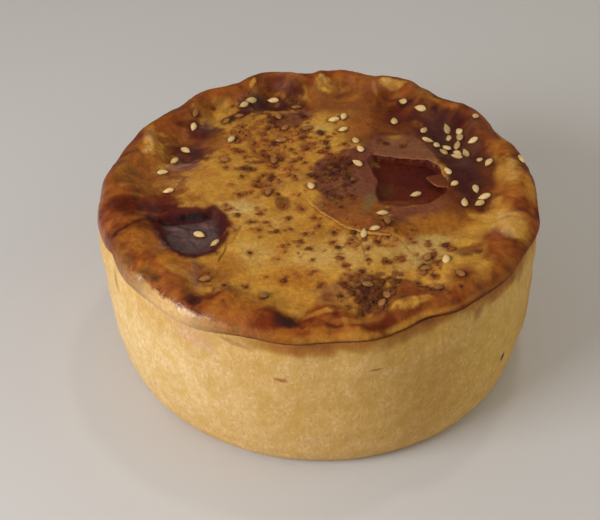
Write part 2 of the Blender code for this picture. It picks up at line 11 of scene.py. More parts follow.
import bpy
import numpy as np
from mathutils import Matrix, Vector


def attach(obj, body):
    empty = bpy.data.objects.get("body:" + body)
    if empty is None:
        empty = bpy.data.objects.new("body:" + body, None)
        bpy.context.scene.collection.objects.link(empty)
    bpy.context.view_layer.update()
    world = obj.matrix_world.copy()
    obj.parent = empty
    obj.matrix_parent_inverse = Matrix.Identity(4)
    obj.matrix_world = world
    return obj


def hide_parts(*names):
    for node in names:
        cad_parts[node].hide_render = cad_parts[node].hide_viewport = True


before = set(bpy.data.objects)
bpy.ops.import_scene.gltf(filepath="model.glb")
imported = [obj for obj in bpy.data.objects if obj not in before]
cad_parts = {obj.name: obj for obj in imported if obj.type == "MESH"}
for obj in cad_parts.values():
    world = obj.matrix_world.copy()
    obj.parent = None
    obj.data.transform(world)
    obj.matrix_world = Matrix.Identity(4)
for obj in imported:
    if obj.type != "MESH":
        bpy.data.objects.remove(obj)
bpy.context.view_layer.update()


# ----------------------------------------------------------------------
# The case: hot-water-crust pastry with the turkey filling baked into it. It is raised by hand inside a
# ring, so its wall is nearly upright, a little wavy, and dry and pale, because it isn't brushed with egg.
# The lid's fluted edge pushes the top of the wall in and out, and some egg ran down it at the left.
# ----------------------------------------------------------------------

MM = 0.001
RIM_RADIUS = 51.0  # the lid's edge between two flutes
SEAM_HEIGHT = 40.3  # top of the case's wall, where the lid's edge laps over it
BASE_RADIUS = 46.4
WALL_PROFILE = (  # (height, radius): a rounded foot, then a wall that leans out and bows a little
    (0, BASE_RADIUS), (0.9, 47.9), (2.6, 49), (6, 50), (13, 51.1), (24, 51.8), (33, 51.8), (37.5, 51.4),
    (SEAM_HEIGHT, 50.8),
)
WALL_WAVE = 0.22
WAVE_FADE = 8.0
WALL_LEAN = 0.4
WALL_FOLLOWS = 0.7  # share of the lid's fluted edge that the top of the wall follows
FOLLOW_HEIGHT = 14.0
WALL_BULGE = (298.0, 34.0, 10.0, 4.5, 0.5)  # azimuth, height, half angle, half height, depth
EDGE_HALF_ANGLE = 8.0
FLUTES = (  # (azimuth, how far the thumb pushed the ridge outwards, and the edge)
    (5, 3, 0.7), (19, 3, 1.2), (40, 3.8, 2.3), (64, 4.4, 3.2), (83, 4.2, 2.4), (107, 4.2, 2.2),
    (128, 3.4, 0.4), (152, 3.2, 0.8), (175, 3, 1.1), (191, 3, 1.3), (211, 2.8, 0.8), (236, 4, 0.9),
    (251, 1.6, 0.4), (264, 5, 1.3), (282, 5.4, 1.4), (306, 3.6, 0.6), (323, 3, 0.8), (347, 3.2, 1.2),
)
PINCH = (298.0, 5.0, 2.2, 1.3)  # azimuth, half angle, how far the ridge and the edge come in
SEAM_LINE = (  # (azimuth, height): the seam wanders where the lid's edge was pressed down
    (0, 40.2), (90, 40.4), (180, 40.3), (240, 39.4), (259, 39.7), (276, 40.6), (295, 41), (310, 41.2),
    (322, 41), (338, 40.1),
)
SEAM_CLOSED = (  # (azimuth, half angle): where glaze or a firm thumb has closed the seam
    (226, 20), (190, 14),
)
WALL_SECTORS = 640
WALL_ROWS = 84
ROWS_CROWD_DOWN = 1.15  # power that brings the rows a little closer together at the foot
POLE = 0.02  # radius of the tiny ring that closes a surface in its middle
LEDGE_LEVEL = 38.0  # top of the filling, under the lid
WALL_RELIEF = ((7.0, 0.16), (2.6, 0.07), (1.2, 0.035))  # (distance between hills, height) of the dough
ARC = math.pi / 180.0 * 51.5  # length of one degree round the wall

PASTRY = {  # baked colours of the dry pastry, from under-baked to scorched
    "cream": "#E6C690", "wheat": "#D9B070", "straw": "#C79A4A", "hay": "#D2AA58",
    "ochre": "#AC7E34", "burnt": "#A0601E", "toast": "#8E5420", "scorch": "#4A1F0E",
    "blush": "#CF9C78",
}
WALL_STAINS = (  # (colour, azimuth, height, half width, half height, turn, strength, softness)
    # The first five rows make the left side paler and the right side darker and more ochre: partly the
    # pastry's own bake, partly painted light and shade, with the left facing the window.
    ("cream", 215, 20, 44, 26, 0, 0.8, 0.9), ("straw", 318, 22, 50, 28, 0, 0.85, 0.9),
    ("ochre", 299, 20, 14, 26, 0, 0.35, 0.9), ("hay", 325, 24, 26, 30, 0, 0.8, 0.9),
    ("ochre", 356, 22, 22, 28, 0, 0.75, 0.9), ("straw", 290, 38, 40, 4.5, 0, 0.5, 0.8),
    ("wheat", 262, 5, 40, 5, 0, 0.4, 0.9), ("straw", 291, 35.5, 7, 4.2, 0, 0.7, 0.8),
    ("straw", 257, 33, 5, 4, 0, 0.4, 0.8), ("blush", 238, 35, 7.5, 3.2, -8, 0.55, 0.6),
    ("blush", 228, 38.6, 19, 2.2, -4, 0.5, 0.7), ("toast", 249, 37.4, 5.5, 0.9, -12, 0.6, 0.7),
    ("toast", 294, 39.4, 8, 1.1, 2, 0.7, 0.8), ("toast", 314, 38.6, 4, 1.6, 30, 0.6, 0.8),
    ("toast", 209, 35.5, 1.4, 3.6, 15, 0.55, 0.8), ("burnt", 261, 29.3, 2.1, 0.6, -3, 0.95, 0.6),
    ("burnt", 284, 32.4, 1.9, 0.55, 4, 0.85, 0.6), ("scorch", 328, 14.8, 0.8, 1.3, -20, 1, 0.4),
    ("scorch", 245, 38.9, 0.9, 0.3, 30, 0.7, 0.6), ("toast", 313, 37.6, 2.2, 4, -25, 0.6, 0.7),
    ("toast", 333, 37, 3, 3.4, -30, 0.5, 0.7),
)
SEAM_BROWNING = (  # (azimuth, half angle, how far down it reaches, strength): fat that fried at the seam
    (326, 26, 6, 1), (297, 14, 4.2, 1), (270, 18, 3.4, 0.95), (10, 30, 3, 0.85), (60, 40, 2.2, 0.8),
    (120, 50, 2, 0.8), (165, 20, 1.6, 0.7),
)
WALL_GLAZE = (  # (azimuth, height, half width, half height, turn, strength, softness): egg that ran over
    (228, 38.6, 18, 2.6, -4, 1, 0.6), (238, 35.2, 8, 3.4, -8, 0.75, 0.5),
)


def smooth(share):
    """0 below 0, 1 above 1, and an S-shaped rise between them."""
    held = np.clip(share, 0.0, 1.0)
    return held * held * (3.0 - 2.0 * held)


def bell(offset, half_width):
    """1 at offset 0, falling away on both sides as exp(-(offset / half_width)^2)."""
    return np.exp(-((offset / half_width) ** 2))


def turn_between(azimuth, centre):
    """How many degrees azimuth lies past centre, from -180 to 180."""
    return (azimuth - centre + 180.0) % 360.0 - 180.0


def edge_radius(azimuth):
    """Radius of the lid's edge: a circle, plus a bell for each flute, less a bell for the pinch."""
    pinch, half_angle, _, edge_in = PINCH
    pinched = edge_in * bell(turn_between(azimuth, pinch), half_angle)
    pushed = sum(push * bell(turn_between(azimuth, centre), EDGE_HALF_ANGLE) for centre, _, push in FLUTES)
    return RIM_RADIUS + pushed - pinched


def wall_radius(height, azimuth):
    """Radius of the case's wall: profile, hand-made wave, lean, flutes at its top, and one swelling."""
    levels, radii = zip(*WALL_PROFILE)
    wave = np.sin(np.radians(3.0 * azimuth) + 0.12 * height) + np.sin(np.radians(5.0 * azimuth) + 2.0)
    rise = smooth(height / WAVE_FADE) * smooth((SEAM_HEIGHT - height) / WAVE_FADE + 0.5)
    lean = WALL_LEAN * np.cos(np.radians(azimuth)) * (1.0 - 2.0 * height / SEAM_HEIGHT)
    near_top = smooth((height - SEAM_HEIGHT) / FOLLOW_HEIGHT + 1.0)
    fluted = WALL_FOLLOWS * (edge_radius(azimuth) - RIM_RADIUS) * near_top
    centre, level, half_angle, half_height, depth = WALL_BULGE
    bulge = depth * bell(turn_between(azimuth, centre), half_angle) * bell(height - level, half_height)
    return np.interp(height, levels, radii) + WALL_WAVE * wave * rise + lean + fluted + bulge


def seam_level(azimuth):
    """Height of the seam: straight lines between its marks, all the way round."""
    marks, levels = zip(*SEAM_LINE)
    return np.interp(azimuth % 360.0, marks, levels, period=360.0)


def seam_closed(azimuth):
    """1 where the seam is closed, 0 where it is open."""
    shut = [smooth(1.5 - np.abs(turn_between(azimuth, c)) / half) for c, half in SEAM_CLOSED]
    return np.max(shut, axis=0)


def grain(x, y, size, seed):
    """Smooth hills from -1 to 1: random heights on a square lattice of this size, eased between them."""
    heights = np.random.default_rng(seed).uniform(-1.0, 1.0, (128, 128))
    across, along = x / size + 640.0, y / size + 640.0
    column, row = np.floor(across).astype(int), np.floor(along).astype(int)
    right, up = smooth(across - column), smooth(along - row)
    low = heights[row % 128, column % 128] * (1 - right) + heights[row % 128, (column + 1) % 128] * right
    row = row + 1
    high = heights[row % 128, column % 128] * (1 - right) + heights[row % 128, (column + 1) % 128] * right
    return low * (1 - up) + high * up


def dough(x, y, z, size, seed):
    """Hills that run on round any surface: grain taken in three planes and added."""
    flat = grain(x + 0.37 * z, y - 0.29 * z, size, seed)
    return (flat + grain(y, z, size, seed + 1) + grain(z, x, size, seed + 2)) / 1.7


def turned(x, y, turn):
    """How far a point lies along and across a line that is turned by so many degrees from +X."""
    angle = math.radians(turn)
    return x * math.cos(angle) + y * math.sin(angle), y * math.cos(angle) - x * math.sin(angle)


def oval_reach(x, y, oval):
    """Offsets along and across an oval (x, y, half length, half width, turn), as shares of its halves."""
    centre_x, centre_y, half_length, half_width, turn = oval
    along, across = turned(x - centre_x, y - centre_y, turn)
    return along / half_length, across / half_width


def stain_cover(x, y, oval, softness, ragged):
    """Cover of a stain: 1 inside an oval and 0 outside it, its edge softened and made ragged."""
    reach = np.hypot(*oval_reach(x, y, oval)) + ragged
    return 1.0 - smooth((reach - 1.0 + softness) / softness)


def linear(shade):
    """An sRGB hex colour as linear red, green and blue."""
    parts = np.array([int(shade[k : k + 2], 16) for k in (1, 3, 5)]) / 255.0
    return np.where(parts <= 0.04045, parts / 12.92, ((parts + 0.055) / 1.055) ** 2.4)


def lay(shade, cover, colour):
    """Lays a colour over the colours before it, as thickly as its cover says at each point."""
    cover = np.reshape(cover, (-1, 1))
    colour = linear(colour) if isinstance(colour, str) else colour
    return shade * (1 - cover) + colour * cover


def plug_in(tree, node, sockets):
    """Gives each socket of a node its value, or a link when it is given another node's output."""
    for name, value in sockets.items():
        if isinstance(value, bpy.types.NodeSocket):
            tree.links.new(value, node.inputs[name])
        else:
            node.inputs[name].default_value = value


def add_node(tree, kind, sockets, output=0, **settings):
    """Adds a shader node with its settings and its sockets filled, and hands back one of its outputs."""
    node = tree.nodes.new("ShaderNode" + kind)
    for name, value in settings.items():
        setattr(node, name, value)
    plug_in(tree, node, sockets)
    return node.outputs[output]


def new_material(name):
    """A material with only a Principled shader, that shader, and object coordinates for its patterns."""
    material = bpy.data.materials.new(name)
    material.use_nodes = True
    tree = material.node_tree
    return material, tree, tree.nodes["Principled BSDF"], add_node(tree, "TexCoord", {}, "Object")


def new_piece(name, points, faces, material, **attributes):
    """A smooth mesh object that rides on the pie: points in millimetres, faces as arrays of corners."""
    mesh = bpy.data.meshes.new(name)
    corners = [face for group in faces for face in group.tolist()]
    mesh.from_pydata((points * MM).tolist(), [], corners)
    for key, values in attributes.items():
        kind, part = ("FLOAT_COLOR", "color") if values.ndim == 2 else ("FLOAT", "value")
        if values.ndim == 2:
            values = np.pad(values, ((0, 0), (0, 1)), constant_values=1.0)
        field = mesh.attributes.new(key, kind, "POINT")
        field.data.foreach_set(part, values.astype(np.float32).ravel())
    mesh.shade_smooth()
    mesh.materials.append(material)
    piece = bpy.data.objects.new(name, mesh)
    bpy.context.scene.collection.objects.link(piece)
    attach(piece, "root")
    return piece


def band_faces(rows, columns, start=0):
    """Quads between rows of points that close round on themselves, each row outside the one before."""
    row, column = np.meshgrid(np.arange(rows - 1), np.arange(columns), indexing="ij")
    here = start + row * columns + column
    after = start + row * columns + (column + 1) % columns
    return np.stack([here, after, after + columns, here + columns], axis=-1).reshape(-1, 4)


def round_points(radius, azimuth, height):
    """Points of one or more rings, as one list: each at its radius, azimuth and height."""
    turn = np.radians(azimuth)
    places = np.broadcast_arrays(radius * np.cos(turn), radius * np.sin(turn), height)
    return np.stack(places, axis=-1).reshape(-1, 3)


def make_case_wall():
    """The case as rings of points: base, foot, wall with its relief, then over the ledge to the middle."""
    azimuth = np.arange(WALL_SECTORS) * 360.0 / WALL_SECTORS
    top = seam_level(azimuth)
    height = (np.linspace(0.0, 1.0, WALL_ROWS) ** ROWS_CROWD_DOWN)[:, None] * top[None, :]
    radius = wall_radius(height, azimuth[None, :])
    plain = round_points(radius, azimuth, height).T
    relief = sum(depth * dough(*plain, size, 3 * k) for k, (size, depth) in enumerate(WALL_RELIEF))
    radius = radius + relief.reshape(height.shape) * smooth(height / 1.5)
    base = [(ring, 0.0) for ring in (POLE, 15.0, 30.0, 42.0)]
    ledge = [(radius[-1] - 0.5, top), (radius[-1] - 1.6, top - 0.2), (47.0, SEAM_HEIGHT - 0.6)]
    rings = [*base, *zip(radius, height), *ledge, (42.0, LEDGE_LEVEL), (POLE, LEDGE_LEVEL)]
    points = np.concatenate([round_points(ring, azimuth, level) for ring, level in rings])
    return points, np.tile(azimuth, len(rings)), points[:, 2]


def wall_colours(points, azimuth, height):
    """Colour of each point: pale pastry, mottled by slow noise, with each stain laid over the last."""
    slow, quick = dough(*points.T, 9.0, 40), dough(*points.T, 2.4, 50)
    shade = lay(linear(PASTRY["wheat"]), 0.35 * smooth(0.5 + 0.5 * slow), PASTRY["straw"])
    for name, centre, *oval, strength, softness in WALL_STAINS:
        across = turn_between(azimuth, centre) * ARC
        cover = stain_cover(across, height, (0.0, *oval), softness, 0.16 * (slow + quick))
        shade = lay(shade, strength * cover, PASTRY[name])
    below = seam_level(azimuth) - height
    fried = np.zeros(len(points))
    for centre, half_angle, reach, strength in SEAM_BROWNING:
        near = bell(turn_between(azimuth, centre), half_angle) * strength
        fried = np.maximum(fried, near * (1 - smooth(below / reach + 0.3 * slow + 0.25 * quick)))
    for name, start in (("ochre", 0.0), ("burnt", 0.3), ("scorch", 0.75)):
        shade = lay(shade, 0.85 * smooth((fried - start) / 0.45), PASTRY[name])
    return shade


def wall_glaze(points, azimuth, height):
    """Thickness of the egg on each point, from 0 to 1: the most of its runs there."""
    ragged, egg = 0.25 * dough(*points.T, 2.0, 60), np.zeros(len(points))
    for centre, *oval, strength, softness in WALL_GLAZE:
        across = turn_between(azimuth, centre) * ARC
        egg = np.maximum(egg, strength * stain_cover(across, height, (0.0, *oval), softness, ragged))
    return egg


# Dry baked hot-water crust: flour and lard set hard in the oven. The eye gets a matt, granular surface,
# with pale flecks of fat and darker toasted grains under a millimetre across, drawn out upwards by the
# hand that raised the wall.
dry_crust, tree, shader, place = new_material("dry_baked_hot_water_crust")
FLECK = 0.75  # width of a fleck; they are a third taller
GRAIN = 0.9
BLOTCH = 2.6
drawn = add_node(tree, "Mapping", {"Vector": place, "Scale": (1.0, 1.0, 0.75)})
crust = add_node(tree, "Attribute", {}, attribute_name="crust_colour")
glaze = add_node(tree, "Attribute", {}, "Fac", attribute_name="glaze")
flecks, grains, blotches = [
    add_node(
        tree, "TexNoise", {"Vector": drawn, "Scale": 1.0 / (size * MM), "Detail": detail, "Roughness": rough}
    )
    for size, detail, rough in ((FLECK, 2.0, 0.6), (GRAIN, 3.0, 0.65), (BLOTCH, 3.0, 0.6))
]
tinted = crust
# (pattern, where in its noise the tint starts, where it is full, how much of it there is, the tint)
for pattern, start, full, most, tint in (
    (flecks, 0.5, 0.68, 0.75, (1.2, 1.32, 1.7)),  # pale fat
    (grains, 0.5, 0.3, 0.6, (0.72, 0.6, 0.45)),  # toasted flour
    (blotches, 0.42, 0.66, 0.9, (0.88, 0.84, 0.56)),  # yellower where the fat gathered
):
    limits = {"Value": pattern, "From Min": start, "From Max": full, "To Max": most}
    cover = add_node(tree, "MapRange", limits)
    colour = add_node(tree, "VectorMath", {0: crust, 1: tint}, operation="MULTIPLY")
    tinted = add_node(tree, "MixRGB", {"Fac": cover, "Color1": tinted, "Color2": colour})
wet = add_node(tree, "MapRange", {"Value": glaze, "To Min": 0.74, "To Max": 0.24})
pitted = add_node(tree, "Bump", {"Height": grains, "Strength": 0.55, "Distance": 0.28 * MM})
gritty = add_node(tree, "Bump", {"Height": flecks, "Normal": pitted, "Strength": 0.4, "Distance": 0.14 * MM})
plug_in(tree, shader, {"Base Color": tinted, "Roughness": wet, "Normal": gritty, "Specular IOR Level": 0.4})

wall_points, wall_azimuth, wall_height = make_case_wall()
wall_sides = band_faces(len(wall_points) // WALL_SECTORS, WALL_SECTORS)
wall_middles = [np.arange(WALL_SECTORS)[None, ::-1], np.arange(len(wall_points))[None, -WALL_SECTORS:]]
case_wall = new_piece(
    "case_wall",
    wall_points,
    [wall_sides, *wall_middles],
    dry_crust,
    crust_colour=wall_colours(wall_points, wall_azimuth, wall_height),
    glaze=wall_glaze(wall_points, wall_azimuth, wall_height),
)
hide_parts("filled_case")


# ----------------------------------------------------------------------
# The lid: a rolled sheet of the same pastry, laid into the mouth of the case and crimped to it with
# finger and thumb, then brushed with egg. The egg browned in the oven from gold to mahogany, and set
# glossy and nearly black where it gathered in the dents. A blister in the lid has burst.
# ----------------------------------------------------------------------

LID_LEVEL = 42.6
CREST_HEIGHT = 45.2
FLUTE_HALF_ANGLE = 5.5
CREST_RADIUS = 45.2
RIM_INSIDE = 33.0  # radius where the field starts to turn into the rim
RIM_WIDTH = 8.0
CREST_REACH = 5.6
CREST_DROP = 0.2
RIM_TILT = (84.0, 1.1)  # azimuth of the rim's highest side, rise
INNER_SLOPE = 8.5
OUTER_ROUND = 2.1
EDGE_TOP = 41.9
DOME_RISE = 0.9
DOME_RADIUS = 42.0
UNDULATION = 0.16
UNDULATION_LENGTHS = (31.0, 23.0, 27.0, 19.0, 36.0)
GOLDEN_TURN = 137.5
POOL_OUTLINE = (  # the deep pool of glaze beside the left rim, anticlockwise from its left tip
    (-39.6, -11), (-37, -16.5), (-34.6, -21), (-32, -25), (-28, -26.4), (-24, -24.2), (-21.4, -20),
    (-20.8, -15), (-22.2, -11), (-24.6, -7.6), (-27, -9.6), (-31, -9.2), (-35, -9.4),
)
POOL_DEPTH = 1.6
POOL_WALL = 1.7
BASINS = (  # (x, y, half length, half width, turn, depth, softness of the wall from 0 to 1)
    (-32.5, 17, 5.5, 7.5, 20, 0.9, 0.7), (-16, 37.6, 9.5, 3.6, -14, 1.1, 0.6),
    (33, 22, 8, 14, 28, 1, 0.8),  # broad basin that holds most of the seeds
    (-6.8, -45.9, 4.2, 3, 5, 1.7, 0.55),  # pits inside two flutes
    (-26.5, -39.5, 3, 2.2, -35, 0.9, 0.5), (12.5, -39, 7, 4, 10, 0.5, 0.9),
    (-8.6, -3.7, 3.4, 2.6, -40, 0.35, 0.9),
)
HOLLOW_DEPTH = 2.0
HOLLOW_RAMP = (12.0, -9.0, 0.35, 12.0)  # the floor climbs to the lid from here: x, y, slant, length
HOLLOW_WALL = 0.55  # width over which the hollow's side drops
HOLLOW_OUTLINE = (  # the burst blister's edge, anticlockwise from the left
    (11.6, 9.9), (13.7, 3.3), (13.2, -2.1), (14.2, -6.2), (20.4, -6.6), (26.1, -5.2), (30.6, -1.6),
    (30.1, 5.5), (29, 10.6), (26.6, 13.3), (19.5, 13.7), (12.8, 13.2),
)
LIP_PATH = ((-3.0, -4.6), (0.6, -9.8), (5.9, -15.4), (10.4, -18.3), (16.4, -18.8))
LIP_LIFT = 0.75
LIP_REACH = 7.0
LIP_STEP = 1.6
LIP_FADE = 6.0
TORN_EDGE = (
    (8.4, 14.4), (12.6, 13), (19.5, 13.5), (26.8, 13.1), (29.2, 10.3), (30.2, 5.3), (30.7, -1.4),
)
EDGE_LIFT = 0.8
EDGE_REACH = 5.0
LID_RELIEF = (  # (distance between hills, height in the field, height on the rim, share) of the dough
    (6.5, 0.14, 0.34, 0.5), (2.8, 0.06, 0.2, 0.35), (1.3, 0.03, 0.09, 0.25),
)
BULGES = (  # (x, y, half length, half width, turn, height): where pastry was squeezed between fingers
    (-41.5, 18, 4.6, 1.8, 100, 0.55), (-17.5, 46, 3, 2, 60, 0.5), (0, 47.5, 3.6, 1.3, 90, 0.6),
    (17, 46, 3.2, 2.4, 45, 0.5), (34.5, 37.5, 4, 1.6, 135, 0.5), (45.5, 4.5, 5, 2.6, 100, 0.5),
    (44, -12.5, 4.2, 3, 75, 0.8), (35, -30.5, 4.5, 2.2, 45, 0.6), (18.5, -41.5, 5, 1.5, 25, 0.5),
    (0.5, -44, 4.2, 1, 10, 0.6), (-45, -22, 4, 2, 105, 0.4),
)
CREASES = (  # (path, half width, depth): folds pressed into the rim, and cracks in the glaze
    (((48.2, -17), (44, -18.6), (40, -20.4)), 0.8, 0.7),
    (((-46, -18.5), (-42, -16.5), (-38, -12.6)), 0.6, 0.5),
    (((-40.5, -29.5), (-37.5, -31.5), (-34.5, -33.2)), 0.7, 0.5),
    (((-44.5, 13.5), (-42.5, 10.5)), 0.7, 0.5), (((-9, 46.5), (-2.5, 45.5)), 0.6, 0.4),
    (((4, -48.6), (0, -46.5), (-3, -48.8)), 0.5, 0.5),
    (((-18, -16), (-19.5, -20), (-22, -27)), 0.28, 0.25), (((8.5, -18), (10.5, -24)), 0.25, 0.2),
    (((22, -20), (26.5, -27)), 0.25, 0.15),
)
FOLD_LENGTH = 3.4
FOLD_HEIGHT = 0.13
LID_CELLS = 288  # cells along each side of the square that is mapped onto the lid
LIP_ROWS = 7
SEAM_GAP = 0.12
LIP_ROUND = 0.3
CLOSED_ROUND = 0.55
CLOSED_DROP = 1.6  # how far below the seam's level the lid reaches where the seam is closed
CLOSED_PROUD = 0.05  # and how far it stands proud of the wall there
LIP_TUCK = 0.35  # how far the open lip turns in below
UNDERSIDE_LEVEL = 38.3  # underside of the lid, just above the filling

GLAZE = {  # colours that egg glaze takes in the oven, and of the pastry under it
    "cream": "#D2AE66", "dun": "#BC9650", "honey": "#CE9A40", "gold": "#C48F38",
    "amber": "#A8691F", "orange": "#9C5A20", "rust": "#84481E", "russet": "#6A300F",
    "mahogany": "#5C2010", "maroon": "#481612", "plum": "#3B1218", "soot": "#170609",
    # The last two colours on the next line are painted sheen: the grey gloss of pooled glaze, laid into its
    # colour.
    "mauve": "#733F33", "blush": "#9A6648", "painted_sheen_lilac": "#543C3A", "painted_sheen_haze": "#8A625C",
    "umber": "#5C3612", "olive": "#64431E", "moss": "#70603E",
}
LID_PATCHES = (  # (colour, width over which it comes, strength, outline anticlockwise): laid first
    ("rust", 5, 0.95, ((8, 20), (12, 19), (18, 23), (21, 30), (22, 38), (17, 44), (8, 45), (0, 43),
        (-6, 37), (-2, 32), (7, 33))),
    ("russet", 5, 0.8, ((11, 20), (17, 22), (21, 29), (22, 38), (14, 39), (12, 31))),
    ("mahogany", 2.6, 0.95, ((28, -2), (33, -8), (39, -8), (42, -1), (43, 8), (42, 17), (39, 25),
        (34, 33), (27, 37), (19, 37), (16, 29), (19, 23), (25, 20), (28, 14), (30.5, 5))),
    ("plum", 4.5, 0.8, ((31, 2), (35, -5), (39, -1), (40, 9), (38, 20), (34, 30), (26, 35), (22, 30),
        (27, 20))),
    ("mauve", 2.4, 0.85, ((8, 13), (13, 10), (20, 11), (28, 12), (27, 19), (23, 23), (18, 21),
        (14, 23), (10, 18))),
    ("russet", 3, 0.9, ((13, -5), (20, -6), (30, -2), (34, -7), (37, -12), (31, -14), (26, -14),
        (23, -18), (17, -17), (14, -11))),
    ("mauve", 3, 0.7, ((14, -6), (22, -6), (29, -5), (29, -9), (22, -13), (17, -11))),
    ("mauve", 1.3, 0.95, ((12, 15), (7, 15), (2, 13), (-1.5, 9), (-0.5, 3), (-1.5, 0), (0, -4),
        (6, -5), (13.6, -4), (14.4, 3), (13.8, 10))),
    ("rust", 1, 0.95, ((-1, -3), (-1, -9), (4, -14), (10, -18.3), (15, -18), (14, -10), (14, -4),
        (6, -4))),
)
